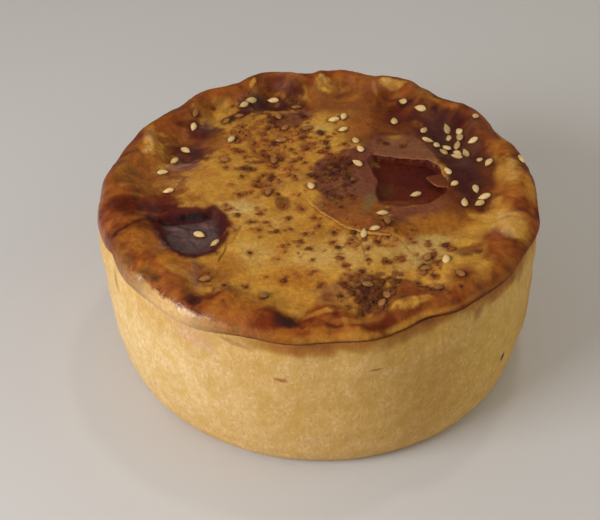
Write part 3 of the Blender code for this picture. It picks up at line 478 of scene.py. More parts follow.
LID_STAINS = (  # (colour, x, y, half length, half width, turn, strength, softness), laid in this order
    # the field
    ("cream", 3, -25, 14, 9, 10, 0.55, 0.8), ("dun", 20, -23.5, 12, 8, 0, 0.65, 0.7),
    ("cream", -14, -25, 8, 7, 0, 0.45, 0.9), ("cream", -12, -13, 9, 4, 20, 0.35, 0.9),
    ("honey", 2.5, 20, 3.5, 7, 0, 0.75, 0.7), ("cream", -1, 25, 6, 3, 20, 0.5, 0.7),
    ("honey", -2, -4, 3, 7, 25, 0.4, 0.8), ("amber", -13, 22, 15, 9, 0, 0.5, 0.8),
    ("rust", -3.2, 18, 2.2, 2.4, 0, 0.75, 0.6), ("rust", -8, 4, 6, 5, 0, 0.25, 0.9),
    ("umber", -8.6, -6, 2.4, 3.6, 20, 0.8, 0.5), ("olive", 2, -17, 6, 2.2, 20, 0.3, 0.8),
    ("mauve", -6.5, 30.8, 7, 5.4, -10, 0.92, 0.6), ("mahogany", -5, 35.5, 5, 2.4, -10, 0.7, 0.6),
    ("mahogany", -11.5, 29.5, 4.4, 1.5, -50, 0.85, 0.5), ("mahogany", -9, 26.2, 1.6, 1.5, 0, 0.85, 0.5),
    ("blush", -34, 3, 5, 4.5, 0, 0.55, 0.8), ("rust", -33, -1.6, 3, 1.2, 20, 0.8, 0.5),
    ("amber", -20, -30, 6, 6, 0, 0.5, 0.8), ("cream", -18.5, -8, 7, 6, 0, 0.95, 0.8),
    ("amber", -4, -33, 9, 5.5, 0, 0.9, 0.8),
    # brown that runs from the back of the lid down to the blister
    ("orange", 9, 26, 5, 7, 0, 0.6, 0.7), ("amber", 27, -14, 13, 6, 12, 0.85, 0.6),
    # around the blister
    ("blush", 17, 19.5, 6, 2, 5, 0.35, 0.8), ("plum", 17, 23.2, 5.5, 0.9, 5, 0.5, 0.6),
    ("russet", 5, 11, 8, 3, 5, 0.6, 0.7), ("russet", 11, 6, 3, 9, 10, 0.5, 0.7),
    ("maroon", 4, 7, 5, 4, 10, 0.75, 0.8), ("plum", 3, -2.5, 3, 2.4, 10, 0.55, 0.8),
    ("orange", 9, -13.5, 5, 3, -20, 0.7, 0.5), ("moss", 12, -5, 2, 5.6, -16, 0.75, 0.7),
    ("rust", 25, -16, 7, 2.2, 0, 0.35, 0.8),
    # the pool of glaze at the left, and the dark that spread from it
    ("rust", -34, -14, 12, 15, 0, 0.75, 0.6), ("orange", -38.6, -21, 3.6, 6, 15, 0.85, 0.6),
    ("orange", -42.5, -22, 2, 6, 15, 0.6, 0.6), ("rust", -34.2, -19, 2.2, 8, 18, 0.8, 0.6),
    ("russet", -39, -4.5, 9.5, 6, -12, 0.7, 0.8), ("mahogany", -38, -6.4, 8.5, 5, -12, 0.95, 0.7),
    ("plum", -37.5, -7.4, 5.8, 2.6, -10, 0.7, 0.8), ("maroon", -33, -8.4, 8, 2.4, -8, 0.9, 0.6),
    ("maroon", -28, -24.8, 5.4, 2.4, 8, 0.85, 0.6), ("amber", -32.5, -28.8, 5, 2.8, 0, 0.85, 0.5),
    ("gold", -31, -32.5, 4, 1.8, -30, 0.5, 0.7), ("rust", -25, -32.5, 7.5, 4.4, -25, 0.8, 0.7),
    ("blush", -27, -33, 1.3, 6, 3, 0.75, 0.5), ("russet", -20.5, -37.5, 4, 3, 0, 0.7, 0.6),
    # the left rim and the dents beside it
    ("rust", -31, 19, 9.5, 12.5, 5, 0.9, 0.6), ("russet", -37.2, 15, 2.6, 8, -5, 0.75, 0.7),
    ("rust", -27.6, 16, 1.4, 5.4, 0, 0.8, 0.6), ("maroon", -31.8, 15, 6.6, 7.8, 0, 0.95, 0.7),
    # On the next line, the greyed stain at x -33, y 9.4 is painted sheen along the dent's low side.
    ("plum", -32.2, 15.4, 4.6, 5.6, 0, 0.7, 0.8), ("painted_sheen_haze", -33, 9.4, 5.2, 1.4, 10, 0.85, 0.5),
    ("blush", -33, 7.2, 6, 1.4, 5, 0.6, 0.7), ("mahogany", -33.5, 25, 4.5, 1.8, 8, 0.85, 0.5),
    ("mahogany", -29.6, 22, 5.4, 6.4, 12, 0.8, 0.8), ("maroon", -28.8, 24.2, 5.8, 4.4, 12, 0.9, 0.7),
    ("plum", -28.2, 22.6, 2.6, 1.6, 0, 0.6, 0.6), ("rust", -40, 4, 7, 6, 0, 0.7, 0.7),
    ("russet", -47, 6, 3, 8, 0, 0.5, 0.8), ("umber", -48, 6, 3.4, 9, 5, 0.55, 0.8),
    ("russet", -26.5, -30.5, 1.6, 5, 10, 0.5, 0.8), ("olive", -46, 3, 2.6, 6, 0, 0.6, 0.6),
    ("olive", -43.5, -1, 2.4, 2.6, 0, 0.5, 0.6), ("maroon", -42.8, -3.6, 1.1, 2.6, -25, 0.9, 0.5),
    ("russet", -46.5, -9, 3, 5, 5, 0.7, 0.7), ("olive", -43.6, -26, 2.4, 4.5, 30, 0.6, 0.6),
    ("russet", -45.5, -17, 2, 4, 12, 0.5, 0.7), ("amber", -42, 14, 3.2, 7, 0, 0.8, 0.6),
    # The two small cream marks at x -41.3 and -42.2 are painted glints on the golden fold.
    ("honey", -42, 16, 1.9, 4.6, 5, 0.85, 0.5), ("cream", -41.3, 15.4, 0.6, 2.4, 10, 0.85, 0.5),
    ("cream", -42.2, 12, 0.7, 1, 30, 0.7, 0.5), ("maroon", -44.8, 11.5, 1.1, 3.4, -15, 0.9, 0.5),
    ("russet", -37.5, 21.5, 3.4, 3, -10, 0.8, 0.6), ("rust", -31, 32, 8, 5, 40, 0.7, 0.7),
    ("orange", -25.5, 20, 3.4, 5, 0, 0.5, 0.8), ("orange", -27.5, 33.5, 4, 2.6, 40, 0.7, 0.7),
    ("olive", -25.5, 36, 4, 1.6, 35, 0.6, 0.7), ("soot", -27.3, 33.2, 1, 0.9, 0, 0.8, 0.5),
    ("russet", -38, 27, 3, 6, -35, 0.7, 0.7), ("honey", -32.3, 31.5, 0.9, 1.6, -5, 0.7, 0.5),
    ("russet", -19.6, 33.4, 3.4, 2, 40, 0.7, 0.6), ("plum", -23.4, 29.4, 3.2, 2.2, 40, 0.92, 0.5),
    ("plum", -19.8, 32.6, 3.4, 2, 40, 0.92, 0.5), ("mahogany", -13, 37, 12, 6, 8, 0.7, 0.8),
    ("maroon", -11, 38, 9, 5, 0, 0.9, 0.7), ("plum", -17.5, 36.4, 6.8, 2.8, 42, 0.95, 0.6),
    ("plum", -8, 37, 4, 2, 0, 0.7, 0.6),
    # the back and right rim
    ("russet", -13.6, 41.6, 3.2, 2.6, 0, 0.7, 0.6), ("mahogany", -11, 44.4, 4.6, 3.2, 0, 0.9, 0.5),
    ("maroon", -6.6, 41.8, 3.4, 2.8, 0, 0.9, 0.45), ("orange", -18.6, 41, 2.4, 4, -15, 0.8, 0.6),
    ("honey", -17.6, 42.6, 0.8, 3, -12, 0.9, 0.5), ("rust", -3, 43, 1.2, 3, 5, 0.6, 0.7),
    ("orange", -1.5, 38.5, 2.4, 5, 5, 0.8, 0.6), ("honey", 0.6, 43.6, 2.4, 3, 0, 0.95, 0.45),
    ("cream", 0.4, 45.4, 1.2, 1.4, 0, 0.7, 0.6), ("orange", 6, 45.6, 4.5, 3, 0, 0.7, 0.7),
    ("blush", 7.5, 46, 1, 2.2, 10, 0.4, 0.7), ("amber", 6, 39, 5, 1.4, 5, 0.6, 0.7),
    ("honey", 18.4, 43.4, 4.4, 1.8, 8, 0.97, 0.45), ("cream", 17, 43.8, 1.6, 0.9, 0, 0.6, 0.6),
    ("blush", 13.8, 42, 0.8, 2.2, 10, 0.8, 0.5), ("mahogany", 18.6, 39.4, 3.4, 1, -10, 0.8, 0.5),
    ("plum", 21.6, 36.8, 5.6, 1.4, -49, 0.95, 0.4), ("plum", 27.4, 32.2, 4.4, 1.6, -18, 0.95, 0.4),
    ("olive", 27, 38, 4.4, 3.4, -40, 0.75, 0.5), ("amber", 29.5, 34.6, 4.4, 1.3, -38, 0.7, 0.6),
    ("orange", 33.4, 33.2, 2.2, 1.6, -30, 0.9, 0.5), ("maroon", 35, 30, 2.6, 3, 20, 0.7, 0.6),
    ("russet", 40, 24, 3, 7, 15, 0.85, 0.6), ("orange", 42.6, 15.5, 2.6, 3.4, 0, 0.7, 0.6),
    ("honey", 44.6, 20, 0.7, 4.5, 15, 0.6, 0.6), ("honey", 45.6, 6, 3.8, 8, -5, 0.97, 0.85),
    ("cream", 46.2, 8, 1.2, 3, -5, 0.35, 0.7), ("orange", 43.2, 2, 0.9, 4.5, -15, 0.6, 0.6),
    ("orange", 46.4, -3, 2.6, 3, 0, 0.8, 0.6), ("amber", 49.5, -3, 1.8, 10, 3, 0.9, 0.6),
    ("gold", 50.2, -1, 1.4, 6, 3, 0.6, 0.7), ("honey", 42, -11, 5.4, 7.4, 0, 0.97, 0.8),
    # The cream streak at x 42, y -11.5 on the next line is a painted highlight on the bulge.
    ("cream", 42, -11.5, 1.2, 4.2, 0, 0.75, 0.6), ("orange", 48.2, -14, 1.2, 4, 12, 0.8, 0.6),
    ("gold", 36, -15, 5.5, 3.4, 0, 0.85, 0.8), ("honey", 45, -16, 4, 5, 15, 0.9, 0.7),
    # The cream mark at x 42.6, y -17.6 on the next line is a painted highlight.
    ("cream", 42.6, -17.6, 2, 1.6, 20, 0.6, 0.7), ("russet", 42.5, -22.6, 4.2, 0.8, 25, 0.7, 0.5),
    ("russet", 34, -22.8, 4.6, 2.4, 12, 0.85, 0.5), ("maroon", 35.8, -23.8, 1.5, 1.1, 0, 0.85, 0.5),
    ("honey", 36.4, -30, 3.4, 6.8, -30, 0.95, 0.9), ("dun", 24, -23, 11, 7.5, 40, 0.95, 0.8),
    ("cream", 23, -22.5, 8, 4.6, 40, 0.6, 0.8), ("rust", 42.2, -26.6, 1.8, 4, -30, 0.85, 0.5),
    ("amber", 29.5, -36.5, 4, 2, 35, 0.7, 0.6), ("amber", 40.5, -29.5, 3, 7, -34, 0.6, 0.8),
    # the front rim
    ("mauve", 3.5, -38, 6, 5, 0, 0.6, 0.7), ("mauve", 10, -34, 7, 4, 0, 0.5, 0.8),
    ("russet", 2.4, -39.5, 2, 3.6, 0, 0.7, 0.6), ("mahogany", 12, -38.5, 5.6, 5.6, 0, 0.8, 0.5),
    ("maroon", 12.4, -43, 3, 3.2, 0, 0.95, 0.45), ("maroon", 13.6, -37.6, 3.4, 3.4, 0, 0.9, 0.6),
    ("rust", 26, -37, 6, 3, 35, 0.7, 0.7), ("honey", 20.6, -41.4, 6, 1.8, 28, 0.97, 0.45),
    ("orange", 25.5, -43, 5, 1.3, 24, 0.8, 0.6), ("russet", 24, -41.2, 4.6, 0.6, 22, 0.9, 0.45),
    ("orange", 6, -46.5, 9, 2.6, 10, 0.75, 0.7), ("amber", -2, -50.8, 20, 2.4, 0, 0.8, 0.6),
    ("amber", 22, -46.2, 8, 1.8, 24, 0.6, 0.6), ("amber", 30, -37.5, 15, 3.6, 40, 0.6, 0.8),
    ("gold", 6.5, -47.2, 5, 1.3, 8, 0.8, 0.6), ("honey", 0.5, -45, 5, 0.9, 12, 0.7, 0.6),
    ("mahogany", -6.7, -46.8, 4.8, 3.6, 5, 0.85, 0.6), ("maroon", -6.7, -47.2, 3.2, 2.6, 0, 0.97, 0.5),
    ("soot", -6.5, -47.8, 1.8, 1.4, 0, 0.5, 0.6), ("amber", -15, -41.5, 7, 3.4, -12, 0.7, 0.7),
    ("orange", -20, -44, 9, 3, -25, 0.7, 0.6), ("umber", -37.2, -32.4, 4.4, 1.5, -40, 0.9, 0.45),
    ("soot", -36.2, -33.8, 1.6, 0.6, -40, 0.6, 0.6),
    ("maroon", -27.2, -40.8, 2.3, 2.2, -35, 0.97, 0.35), ("soot", -27.2, -40.8, 1.2, 1, -35, 0.8, 0.5),
)
LID_MOTTLES = (  # (colour, x, y, half length, half width, turn, strength, size): blotches strewn there
    ("rust", -14, 18, 12, 9, 0, 0.75, 2), ("russet", -17, 24, 9, 7, 20, 0.5, 1.1),
    ("rust", -8, 3, 10, 7, 0, 0.4, 1.8), ("maroon", 4, 5, 6, 8, 0, 0.8, 1.6),
    ("plum", 3.5, 6, 5, 5, 0, 0.9, 0.8), ("plum", 3.5, -2.5, 5, 4, 0, 0.9, 0.9),
    ("russet", 26, -16, 10, 4, 0, 0.4, 1.6), ("olive", -45, 0, 5, 14, 0, 0.5, 2.4),
    ("mahogany", -32, 32, 10, 8, 0, 0.4, 1.8), ("gold", -41, 18, 5, 9, 0, 0.5, 1.4),
    ("plum", 11, -38, 6, 7, 0, 0.85, 1), ("mahogany", 16, -32, 8, 4, 0, 0.75, 1.4),
    ("russet", 20, -29, 9, 5, 0, 0.3, 1.3), ("maroon", 40, 22, 5, 11, 15, 0.5, 1.8),
    ("maroon", 4, 43, 9, 5, 0, 0.4, 1.6), ("maroon", -20, -40, 12, 5, -25, 0.4, 1.6),
    ("mahogany", -44, -14, 6, 14, 10, 0.6, 1.9), ("maroon", -18, 36, 9, 5, 25, 0.8, 1.5),
    ("russet", -34, 8, 5, 18, 0, 0.6, 2.2), ("russet", 30, -40, 14, 4, 40, 0.5, 1.5),
    ("amber", 0, -12, 26, 14, 0, 0.25, 2.6), ("mahogany", -12, 30.5, 10, 5, 0, 0.6, 1.3),
    ("plum", -14, 36.5, 9, 4, 10, 0.5, 1.1), ("mahogany", 40, -33, 5, 13, -40, 0.25, 1.2),
    ("amber", -41, -24, 5, 10, 25, 0.5, 1.2), ("umber", -45, 2, 6, 14, 0, 0.7, 1.9),
    ("mahogany", -43, 8, 7, 16, 0, 0.4, 1.1), ("plum", 9.8, -36, 5, 5.5, 0, 0.8, 1.2),
    ("mahogany", 24, -42, 14, 4, 30, 0.35, 1.3),
)
CRACKS = (  # (path, half width, strength): dark lines where the glaze cracked
    (((-18, -15.5), (-18.6, -18), (-19.8, -21.5)), 0.24, 0.55),
    (((-20.8, -21.5), (-21.5, -25), (-22.3, -28)), 0.24, 0.6),
    (((-37, -11.2), (-33, -11.8), (-30.5, -13.6), (-27.5, -14), (-25.6, -16.6)), 0.3, 0.8),
    (((-33.5, -15.5), (-30.5, -16.6), (-28.5, -19), (-27.4, -22)), 0.3, 0.7),
    (((-30.5, -13.6), (-29.8, -16.6)), 0.25, 0.6), (((-26, -12), (-25, -14.5), (-23, -16)), 0.25, 0.6),
    (((8.5, -18.8), (10, -22), (10.5, -25.5)), 0.25, 0.5),
    (((-47, -18.5), (-43, -16), (-38.5, -11.6)), 0.4, 0.7),
    (((18.5, -19.5), (20.5, -23), (24, -28)), 0.22, 0.4),
)
POOL_BANDS = (  # (colour, how far inside its outline it starts, width over which it comes, strength)
    # The last band is painted sheen on the pool's floor, over its dark glaze.
    ("mahogany", -1.9, 1.8, 0.9), ("maroon", -1, 1.2, 0.9), ("painted_sheen_lilac", 1, 1.3, 0.9),
)
POOL_STAINS = (  # the same rows as the lid's, for the pool's floor
    # The first two rows darken the pool's far wall: partly its dark glaze, partly painted shade on that
    # steep wall.
    ("plum", -31, -10.6, 7, 1.3, 0, 0.95, 0.5), ("soot", -29, -10.2, 5, 0.8, 0, 0.8, 0.6),
    ("plum", -22.8, -14, 1.6, 4, 5, 0.7, 0.6), ("maroon", -28, -24, 7, 3.6, 6, 0.95, 0.5),
    ("maroon", -35, -18.5, 2, 6, 26, 0.9, 0.5), ("mahogany", -37, -14, 2, 4, 20, 0.9, 0.6),
    ("plum", -31.5, -19.5, 4, 1.6, -48, 0.6, 0.7), ("plum", -24.5, -20.5, 2.6, 2, 30, 0.6, 0.7),
    # The next three rows are painted sheen: pale streaks of gloss on the pool's floor.
    ("painted_sheen_haze", -34, -13, 3.4, 0.9, -10, 0.5, 0.7), ("painted_sheen_haze", -26.2, -12.8, 2, 1, -30, 0.45, 0.7),
    ("painted_sheen_haze", -29.5, -17.5, 3.6, 0.9, -35, 0.35, 0.7),
)
HOLLOW_STAINS = (  # the same, for the floor of the blister
    ("mahogany", 21, 4, 14, 14, 0, 1, 0.2), ("maroon", 23, 7, 9, 7, 0, 0.7, 0.8),
    ("plum", 27, 9, 5, 5, 0, 0.5, 0.8), ("olive", 16, 2, 3, 5.5, -10, 0.4, 0.7),
    ("rust", 18, -3.5, 8, 2, 5, 0.6, 0.8),
)
GLAZE_DEPTHS = (  # (x, y, half length, half width, turn, strength, softness): glossy places
    (-29.6, -18, 8.2, 7.4, 20, 0.95, 0.35), (-31, 14.5, 5.5, 8.5, -10, 0.5, 0.5),
    (-28.5, 25, 4.5, 5, 0, 0.5, 0.6), (-16, 37, 10, 5, 15, 0.5, 0.6), (33, 20, 10, 16, 28, 0.5, 0.5),
    (-6.8, -46.8, 5, 3.8, 5, 0.38, 0.5), (-26.7, -40, 3.4, 2.4, -35, 0.38, 0.5),
    (44, -12, 5, 6, 0, 0.8, 0.7), (45.5, 5, 3, 6, 0, 0.6, 0.7), (-41.8, 16.5, 2.4, 6, 5, 0.95, 0.6),
    (18.4, 43.4, 5, 2.6, 8, 0.7, 0.6), (0.6, 44, 2.6, 3, 0, 0.6, 0.6), (42, -16, 5, 5, 0, 0.95, 0.6),
    (-9, 45.5, 7, 6, 0, 0.6, 0.7), (-39.5, -8, 6, 5.5, 20, 0.4, 0.7),
)


def flute_push(azimuth):
    """Outward push of the thumb on the ridge at an azimuth: the sum of one bell for each flute."""
    return sum(push * bell(turn_between(azimuth, centre), FLUTE_HALF_ANGLE) for centre, push, _ in FLUTES)


def crest_radius(azimuth):
    """Radius of the rim's ridge, which weaves out at each flute and in at the pinch."""
    pinch, half_angle, ridge_in, _ = PINCH
    pinched = ridge_in * bell(turn_between(azimuth, pinch), half_angle)
    return CREST_RADIUS + np.minimum(flute_push(azimuth), CREST_REACH) - pinched


def crest_height(azimuth):
    """Height of the ridge: lower where it was pushed out, higher on one side of the pie."""
    high_side, rise = RIM_TILT
    tilt = rise * np.cos(np.radians(azimuth - high_side))
    return CREST_HEIGHT + tilt - CREST_DROP * flute_push(azimuth)


def path_distance(x, y, path):
    """Distance to an open path, and which side of it a point is on: +1 left of its direction, else -1."""
    nearest = np.full(np.shape(x), np.inf)
    side = np.ones(np.shape(x))
    for (ax, ay), (bx, by) in zip(path[:-1], path[1:]):
        dx, dy = bx - ax, by - ay
        share = np.clip(((x - ax) * dx + (y - ay) * dy) / (dx * dx + dy * dy), 0.0, 1.0)
        distance = np.hypot(x - ax - share * dx, y - ay - share * dy)
        left = dx * (y - ay) - dy * (x - ax)
        closer = distance < nearest
        nearest = np.where(closer, distance, nearest)
        side = np.where(closer, np.where(left >= 0.0, 1.0, -1.0), side)
    return nearest, side


def inside(x, y, outline):
    """Whether each point lies inside a closed outline, by counting the edges to its right."""
    crossings = np.zeros(np.shape(x), dtype=int)
    for (ax, ay), (bx, by) in zip(outline, outline[1:] + outline[:1]):
        spans = (ay > y) != (by > y)
        at = ax + (y - ay) * (bx - ax) / (by - ay if by != ay else 1.0)
        crossings = crossings + (spans & (x < at))
    return crossings % 2 == 1


def depth_inside(x, y, outline, ragged, size):
    """Distance to an outline, above 0 inside it and below 0 outside, the outline shaken by the grain."""
    ragged_x = x + ragged * grain(x, y, size, 90) + 0.5 * ragged * grain(x, y, 0.4 * size, 92)
    ragged_y = y + ragged * grain(x, y, size, 91) + 0.5 * ragged * grain(x, y, 0.4 * size, 93)
    distance, _ = path_distance(ragged_x, ragged_y, outline + outline[:1])
    return np.where(inside(ragged_x, ragged_y, outline), distance, -distance)


def pool_share(x, y):
    """0 outside the deep pool, 1 on its floor, with a slope between them."""
    return smooth(depth_inside(x, y, POOL_OUTLINE, 0.35, 2.0) / POOL_WALL)


def basin_depth(x, y):
    """Sum of the glaze-filled dents: each is deepest in its middle and ends at a ragged ellipse."""
    total = POOL_DEPTH * pool_share(x, y)
    ragged = 0.12 * grain(x, y, 3.5, 75) + 0.06 * grain(x, y, 1.4, 76)
    for *oval, depth, softness in BASINS:
        total = total + depth * stain_cover(x, y, oval, softness, ragged)
    return total


def undulation(x, y):
    """Slow swell of rolled dough: sines of different lengths, each turned by the golden angle."""
    total = np.zeros(np.shape(x))
    for count, length in enumerate(UNDULATION_LENGTHS):
        along, _ = turned(x, y, GOLDEN_TURN * count)
        total = total + UNDULATION * np.sin(2.0 * math.pi * along / length + count)
    return total


def skin_lift(x, y):
    """How far the blistered skin stands up: most at its torn edges, fading away from them."""
    distance, side = path_distance(x, y, LIP_PATH)
    lip = LIP_LIFT * np.exp(-distance / LIP_REACH) * smooth(0.5 + 0.5 * side * distance / LIP_STEP)
    left_end, right_end = LIP_PATH[0][0], LIP_PATH[-1][0]
    lip = lip * smooth((x - left_end) / LIP_FADE) * smooth((right_end - x) / LIP_FADE + 0.7)
    return lip + EDGE_LIFT * bell(path_distance(x, y, TORN_EDGE)[0], EDGE_REACH)


def around_lid(x, y):
    """Azimuth and radius of each point."""
    return np.degrees(np.arctan2(y, x)), np.hypot(x, y)


def lid_height(x, y):
    """Height of the lid's upper face, with the blister whole: the field, the ridge and the outer slope."""
    azimuth, radius = around_lid(x, y)
    crest, crest_z, edge = crest_radius(azimuth), crest_height(azimuth), edge_radius(azimuth)
    field = LID_LEVEL + DOME_RISE * (1.0 - (radius / DOME_RADIUS) ** 2)
    field = field + undulation(x, y) - basin_depth(x, y) + skin_lift(x, y)
    inner = field + (crest_z - field) * smooth((radius - crest + INNER_SLOPE) / INNER_SLOPE)
    down = np.clip((radius - crest) / (edge - crest), 0.0, 1.0)
    outer = EDGE_TOP + (crest_z - EDGE_TOP) * (1.0 - down**OUTER_ROUND)
    return np.where(radius < crest, inner, outer)


def hollow_share(x, y):
    """0 on the lid and 1 on the blister's floor, with a steep ragged side between them."""
    return smooth(depth_inside(x, y, HOLLOW_OUTLINE, 0.22, 2.4) / HOLLOW_WALL)


def hollow_depth(x, y):
    """Depth of the burst blister's floor below the lid, which climbs to nothing at its lower left."""
    start_x, start_y, slant, length = HOLLOW_RAMP
    return HOLLOW_DEPTH * smooth((y - start_y + slant * (x - start_x)) / length)


def rim_folds(x, y):
    """Folds that run across the rim, from -1 to 1: sharp crests where the dough's hills cross zero."""
    azimuth, radius = around_lid(x, y)
    on_ridge = round_points(CREST_RADIUS, azimuth, 0.35 * radius)
    return 1.0 - 3.0 * np.abs(dough(*on_ridge.T, FOLD_LENGTH, 130)).reshape(np.shape(x))


def lid_surface(x, y):
    """Height of the baked lid: its plain form, the dough's relief, its bulges and creases, the hollow."""
    height = lid_height(x, y)
    rim = smooth((np.hypot(x, y) - RIM_INSIDE) / RIM_WIDTH)
    for count, (size, low, high, _) in enumerate(LID_RELIEF):
        height = height + (low + (high - low) * rim) * grain(x, y, size, 100 + count)
    height = height + FOLD_HEIGHT * rim * rim_folds(x, y)
    for *oval, rise in BULGES:
        height = height + rise * bell(np.hypot(*oval_reach(x, y, oval)), 1.0)
    for path, half_width, depth in CREASES:
        height = height - depth * bell(path_distance(x, y, path)[0], half_width)
    floor = hollow_depth(x, y)
    return height - hollow_share(x, y) * (floor + 0.25 * smooth(floor / 0.8))


def square_on_disc(cells):
    """A square grid mapped onto a disc with equal cells: each square ring becomes a circle."""
    side = np.linspace(-1.0, 1.0, cells + 1)
    u, v = np.meshgrid(side, side, indexing="xy")
    wide = np.abs(u) >= np.abs(v)
    share = np.where(wide, np.abs(u), np.abs(v))
    first, second = np.where(wide, v, u), np.where(wide, u, v)
    slant = 45.0 * first / np.where(second == 0.0, 1.0, second)
    azimuth = np.where(wide, slant + 180.0 * (u < 0.0), 90.0 - slant + 180.0 * (v < 0.0))
    return share, azimuth


def square_edge(cells):
    """Indices of the square grid's outer points, anticlockwise from its lower left corner."""
    index = np.arange((cells + 1) ** 2).reshape(cells + 1, cells + 1)
    return np.concatenate([index[0, :-1], index[:-1, -1], index[-1, :0:-1], index[:0:-1, 0]])


def grid_faces(index):
    """Quads between the points of a grid, from the grid of their indices."""
    corners = (index[:-1, :-1], index[:-1, 1:], index[1:, 1:], index[1:, :-1])
    return np.stack(corners, axis=-1).reshape(-1, 4)


def make_lid_crust():
    """The lid: the mapped square for its upper face, then rings down the lip and under it to the middle."""
    share, azimuth = square_on_disc(LID_CELLS)
    top = round_points(share * edge_radius(azimuth), azimuth, 0.0)
    top[:, 2] = lid_surface(top[:, 0], top[:, 1])
    edge = square_edge(LID_CELLS)
    around = azimuth.ravel()[edge]
    start_radius, start_height = edge_radius(around), top[edge, 2]
    closed = seam_closed(around)
    end_height = seam_level(around) + SEAM_GAP * (1.0 - closed) - CLOSED_DROP * closed
    flush = wall_radius(end_height, around) + CLOSED_PROUD
    end_radius = (start_radius - LIP_TUCK * (1.0 - closed)) * (1.0 - closed) + flush * closed
    swell = LIP_ROUND + CLOSED_ROUND * closed * bell(turn_between(around, 236.0), 16.0)
    rings = []
    for part in np.arange(1, LIP_ROWS + 1) / LIP_ROWS:
        width = start_radius + (end_radius - start_radius) * part + swell * np.sin(math.pi * part)
        rings.append((width, start_height + (end_height - start_height) * part))
    rings += [(end_radius - 1.2, end_height + 0.02), (47.0, SEAM_HEIGHT + 0.3)]
    rings += [(42.0, UNDERSIDE_LEVEL), (POLE, UNDERSIDE_LEVEL)]
    points = np.concatenate([top, *(round_points(ring, around, level) for ring, level in rings)])
    first = len(top) + np.arange(len(edge))
    lip = np.stack([np.roll(edge, -1), edge, first, np.roll(first, -1)], axis=-1)
    below = band_faces(len(rings), len(edge), len(top))[:, ::-1]
    middle = np.arange(len(points))[None, : -len(edge) - 1 : -1]
    index = np.arange(len(top)).reshape(LID_CELLS + 1, LID_CELLS + 1)
    return points, [grid_faces(index), lip, below, middle]


def lay_stains(shade, stains, x, y, within=1.0):
    """Lays each stain over the colours before it; its edge follows the grain of the dough."""
    ragged = 0.2 * grain(x, y, 3.6, 70) + 0.14 * grain(x, y, 1.2, 71) + 0.08 * grain(x, y, 0.6, 72)
    for name, *oval, strength, softness in stains:
        cover = strength * within * stain_cover(x, y, oval, softness, ragged)
        shade = lay(shade, cover, GLAZE[name])
    return shade


def lay_mottles(shade, x, y):
    """Strews blotches of each row's colour over its ellipse: where the grain of that size stands high."""
    for count, (name, *oval, strength, size) in enumerate(LID_MOTTLES):
        cover = stain_cover(x, y, oval, 0.6, 0.0)
        spots = grain(x, y, size, 110 + count) + 0.4 * grain(x, y, 0.4 * size, 140 + count)
        shade = lay(shade, strength * cover * smooth(2.4 * spots), GLAZE[name])
    return shade


def lid_field_colours(x, y):
    """Colour of the lid's upper face: gold field, brown rim, stains, partly painted light and shade on the
    relief, the pool.
    """
    azimuth, radius = around_lid(x, y)
    slow, quick, fine = grain(x, y, 7.0, 80), grain(x, y, 2.2, 81), grain(x, y, 1.0, 82)
    cover = 0.5 * smooth(0.4 + 0.6 * slow + 0.4 * quick + 0.2 * fine)
    shade = lay(linear(GLAZE["gold"]), cover, GLAZE["amber"])
    rim = smooth((radius - crest_radius(azimuth) + 7.0) / 6.0 + 0.35 * slow + 0.2 * quick)
    brown = lay(linear("#8C4418"), 1 - smooth(0.5 + 0.5 * quick + 0.6 * slow + 0.3 * fine), "#66270E")
    shade = lay(shade, rim, brown)
    for name, width, strength, outline in LID_PATCHES:
        cover = strength * smooth(depth_inside(x, y, outline, 0.9, 3.0) / width + 0.5)
        shade = lay(shade, cover, GLAZE[name])
    shade = lay_mottles(lay_stains(shade, LID_STAINS, x, y), x, y)
    high = sum(part * grain(x, y, size, 100 + k) for k, (size, _, _, part) in enumerate(LID_RELIEF))
    ridge = bell(radius - crest_radius(azimuth) - 0.4, 1.6)
    fold = rim_folds(x, y)
    # Ridges and fold crests of the rim are lighter: partly glaze that ran thin off them, partly painted
    # highlight.
    bare_and_highlit = rim * (0.5 * smooth(1.8 * high) + 0.25 * ridge + 0.5 * smooth(1.6 * fold))
    bare_and_highlit = bare_and_highlit + 0.18 * (1 - rim) * smooth(1.8 * high)
    shade = lay(shade * (1 + 0.25 * bare_and_highlit)[:, None], 0.4 * bare_and_highlit, GLAZE["amber"])
    # Dips in the relief and fold troughs are darker: partly glaze gathered in them, partly painted shade in
    # the hollows.
    pooled_and_shaded = (0.2 + 0.3 * rim) * smooth(-1.8 * high) + 0.35 * rim * smooth(-1.2 * fold - 0.2)
    shade = lay(shade, pooled_and_shaded, shade * linear("#C08258"))
    pool = depth_inside(x, y, POOL_OUTLINE, 0.35, 2.0)
    for name, start, width, strength in POOL_BANDS:
        shade = lay(shade, strength * smooth((pool - start) / width), GLAZE[name])
    shade = lay_stains(shade, POOL_STAINS, x, y)
    for path, half_width, strength in CRACKS:
        away, _ = path_distance(x + 0.3 * quick, y + 0.3 * fine, path)
        shade = lay(shade, strength * bell(away, half_width), GLAZE["soot"])
    return shade


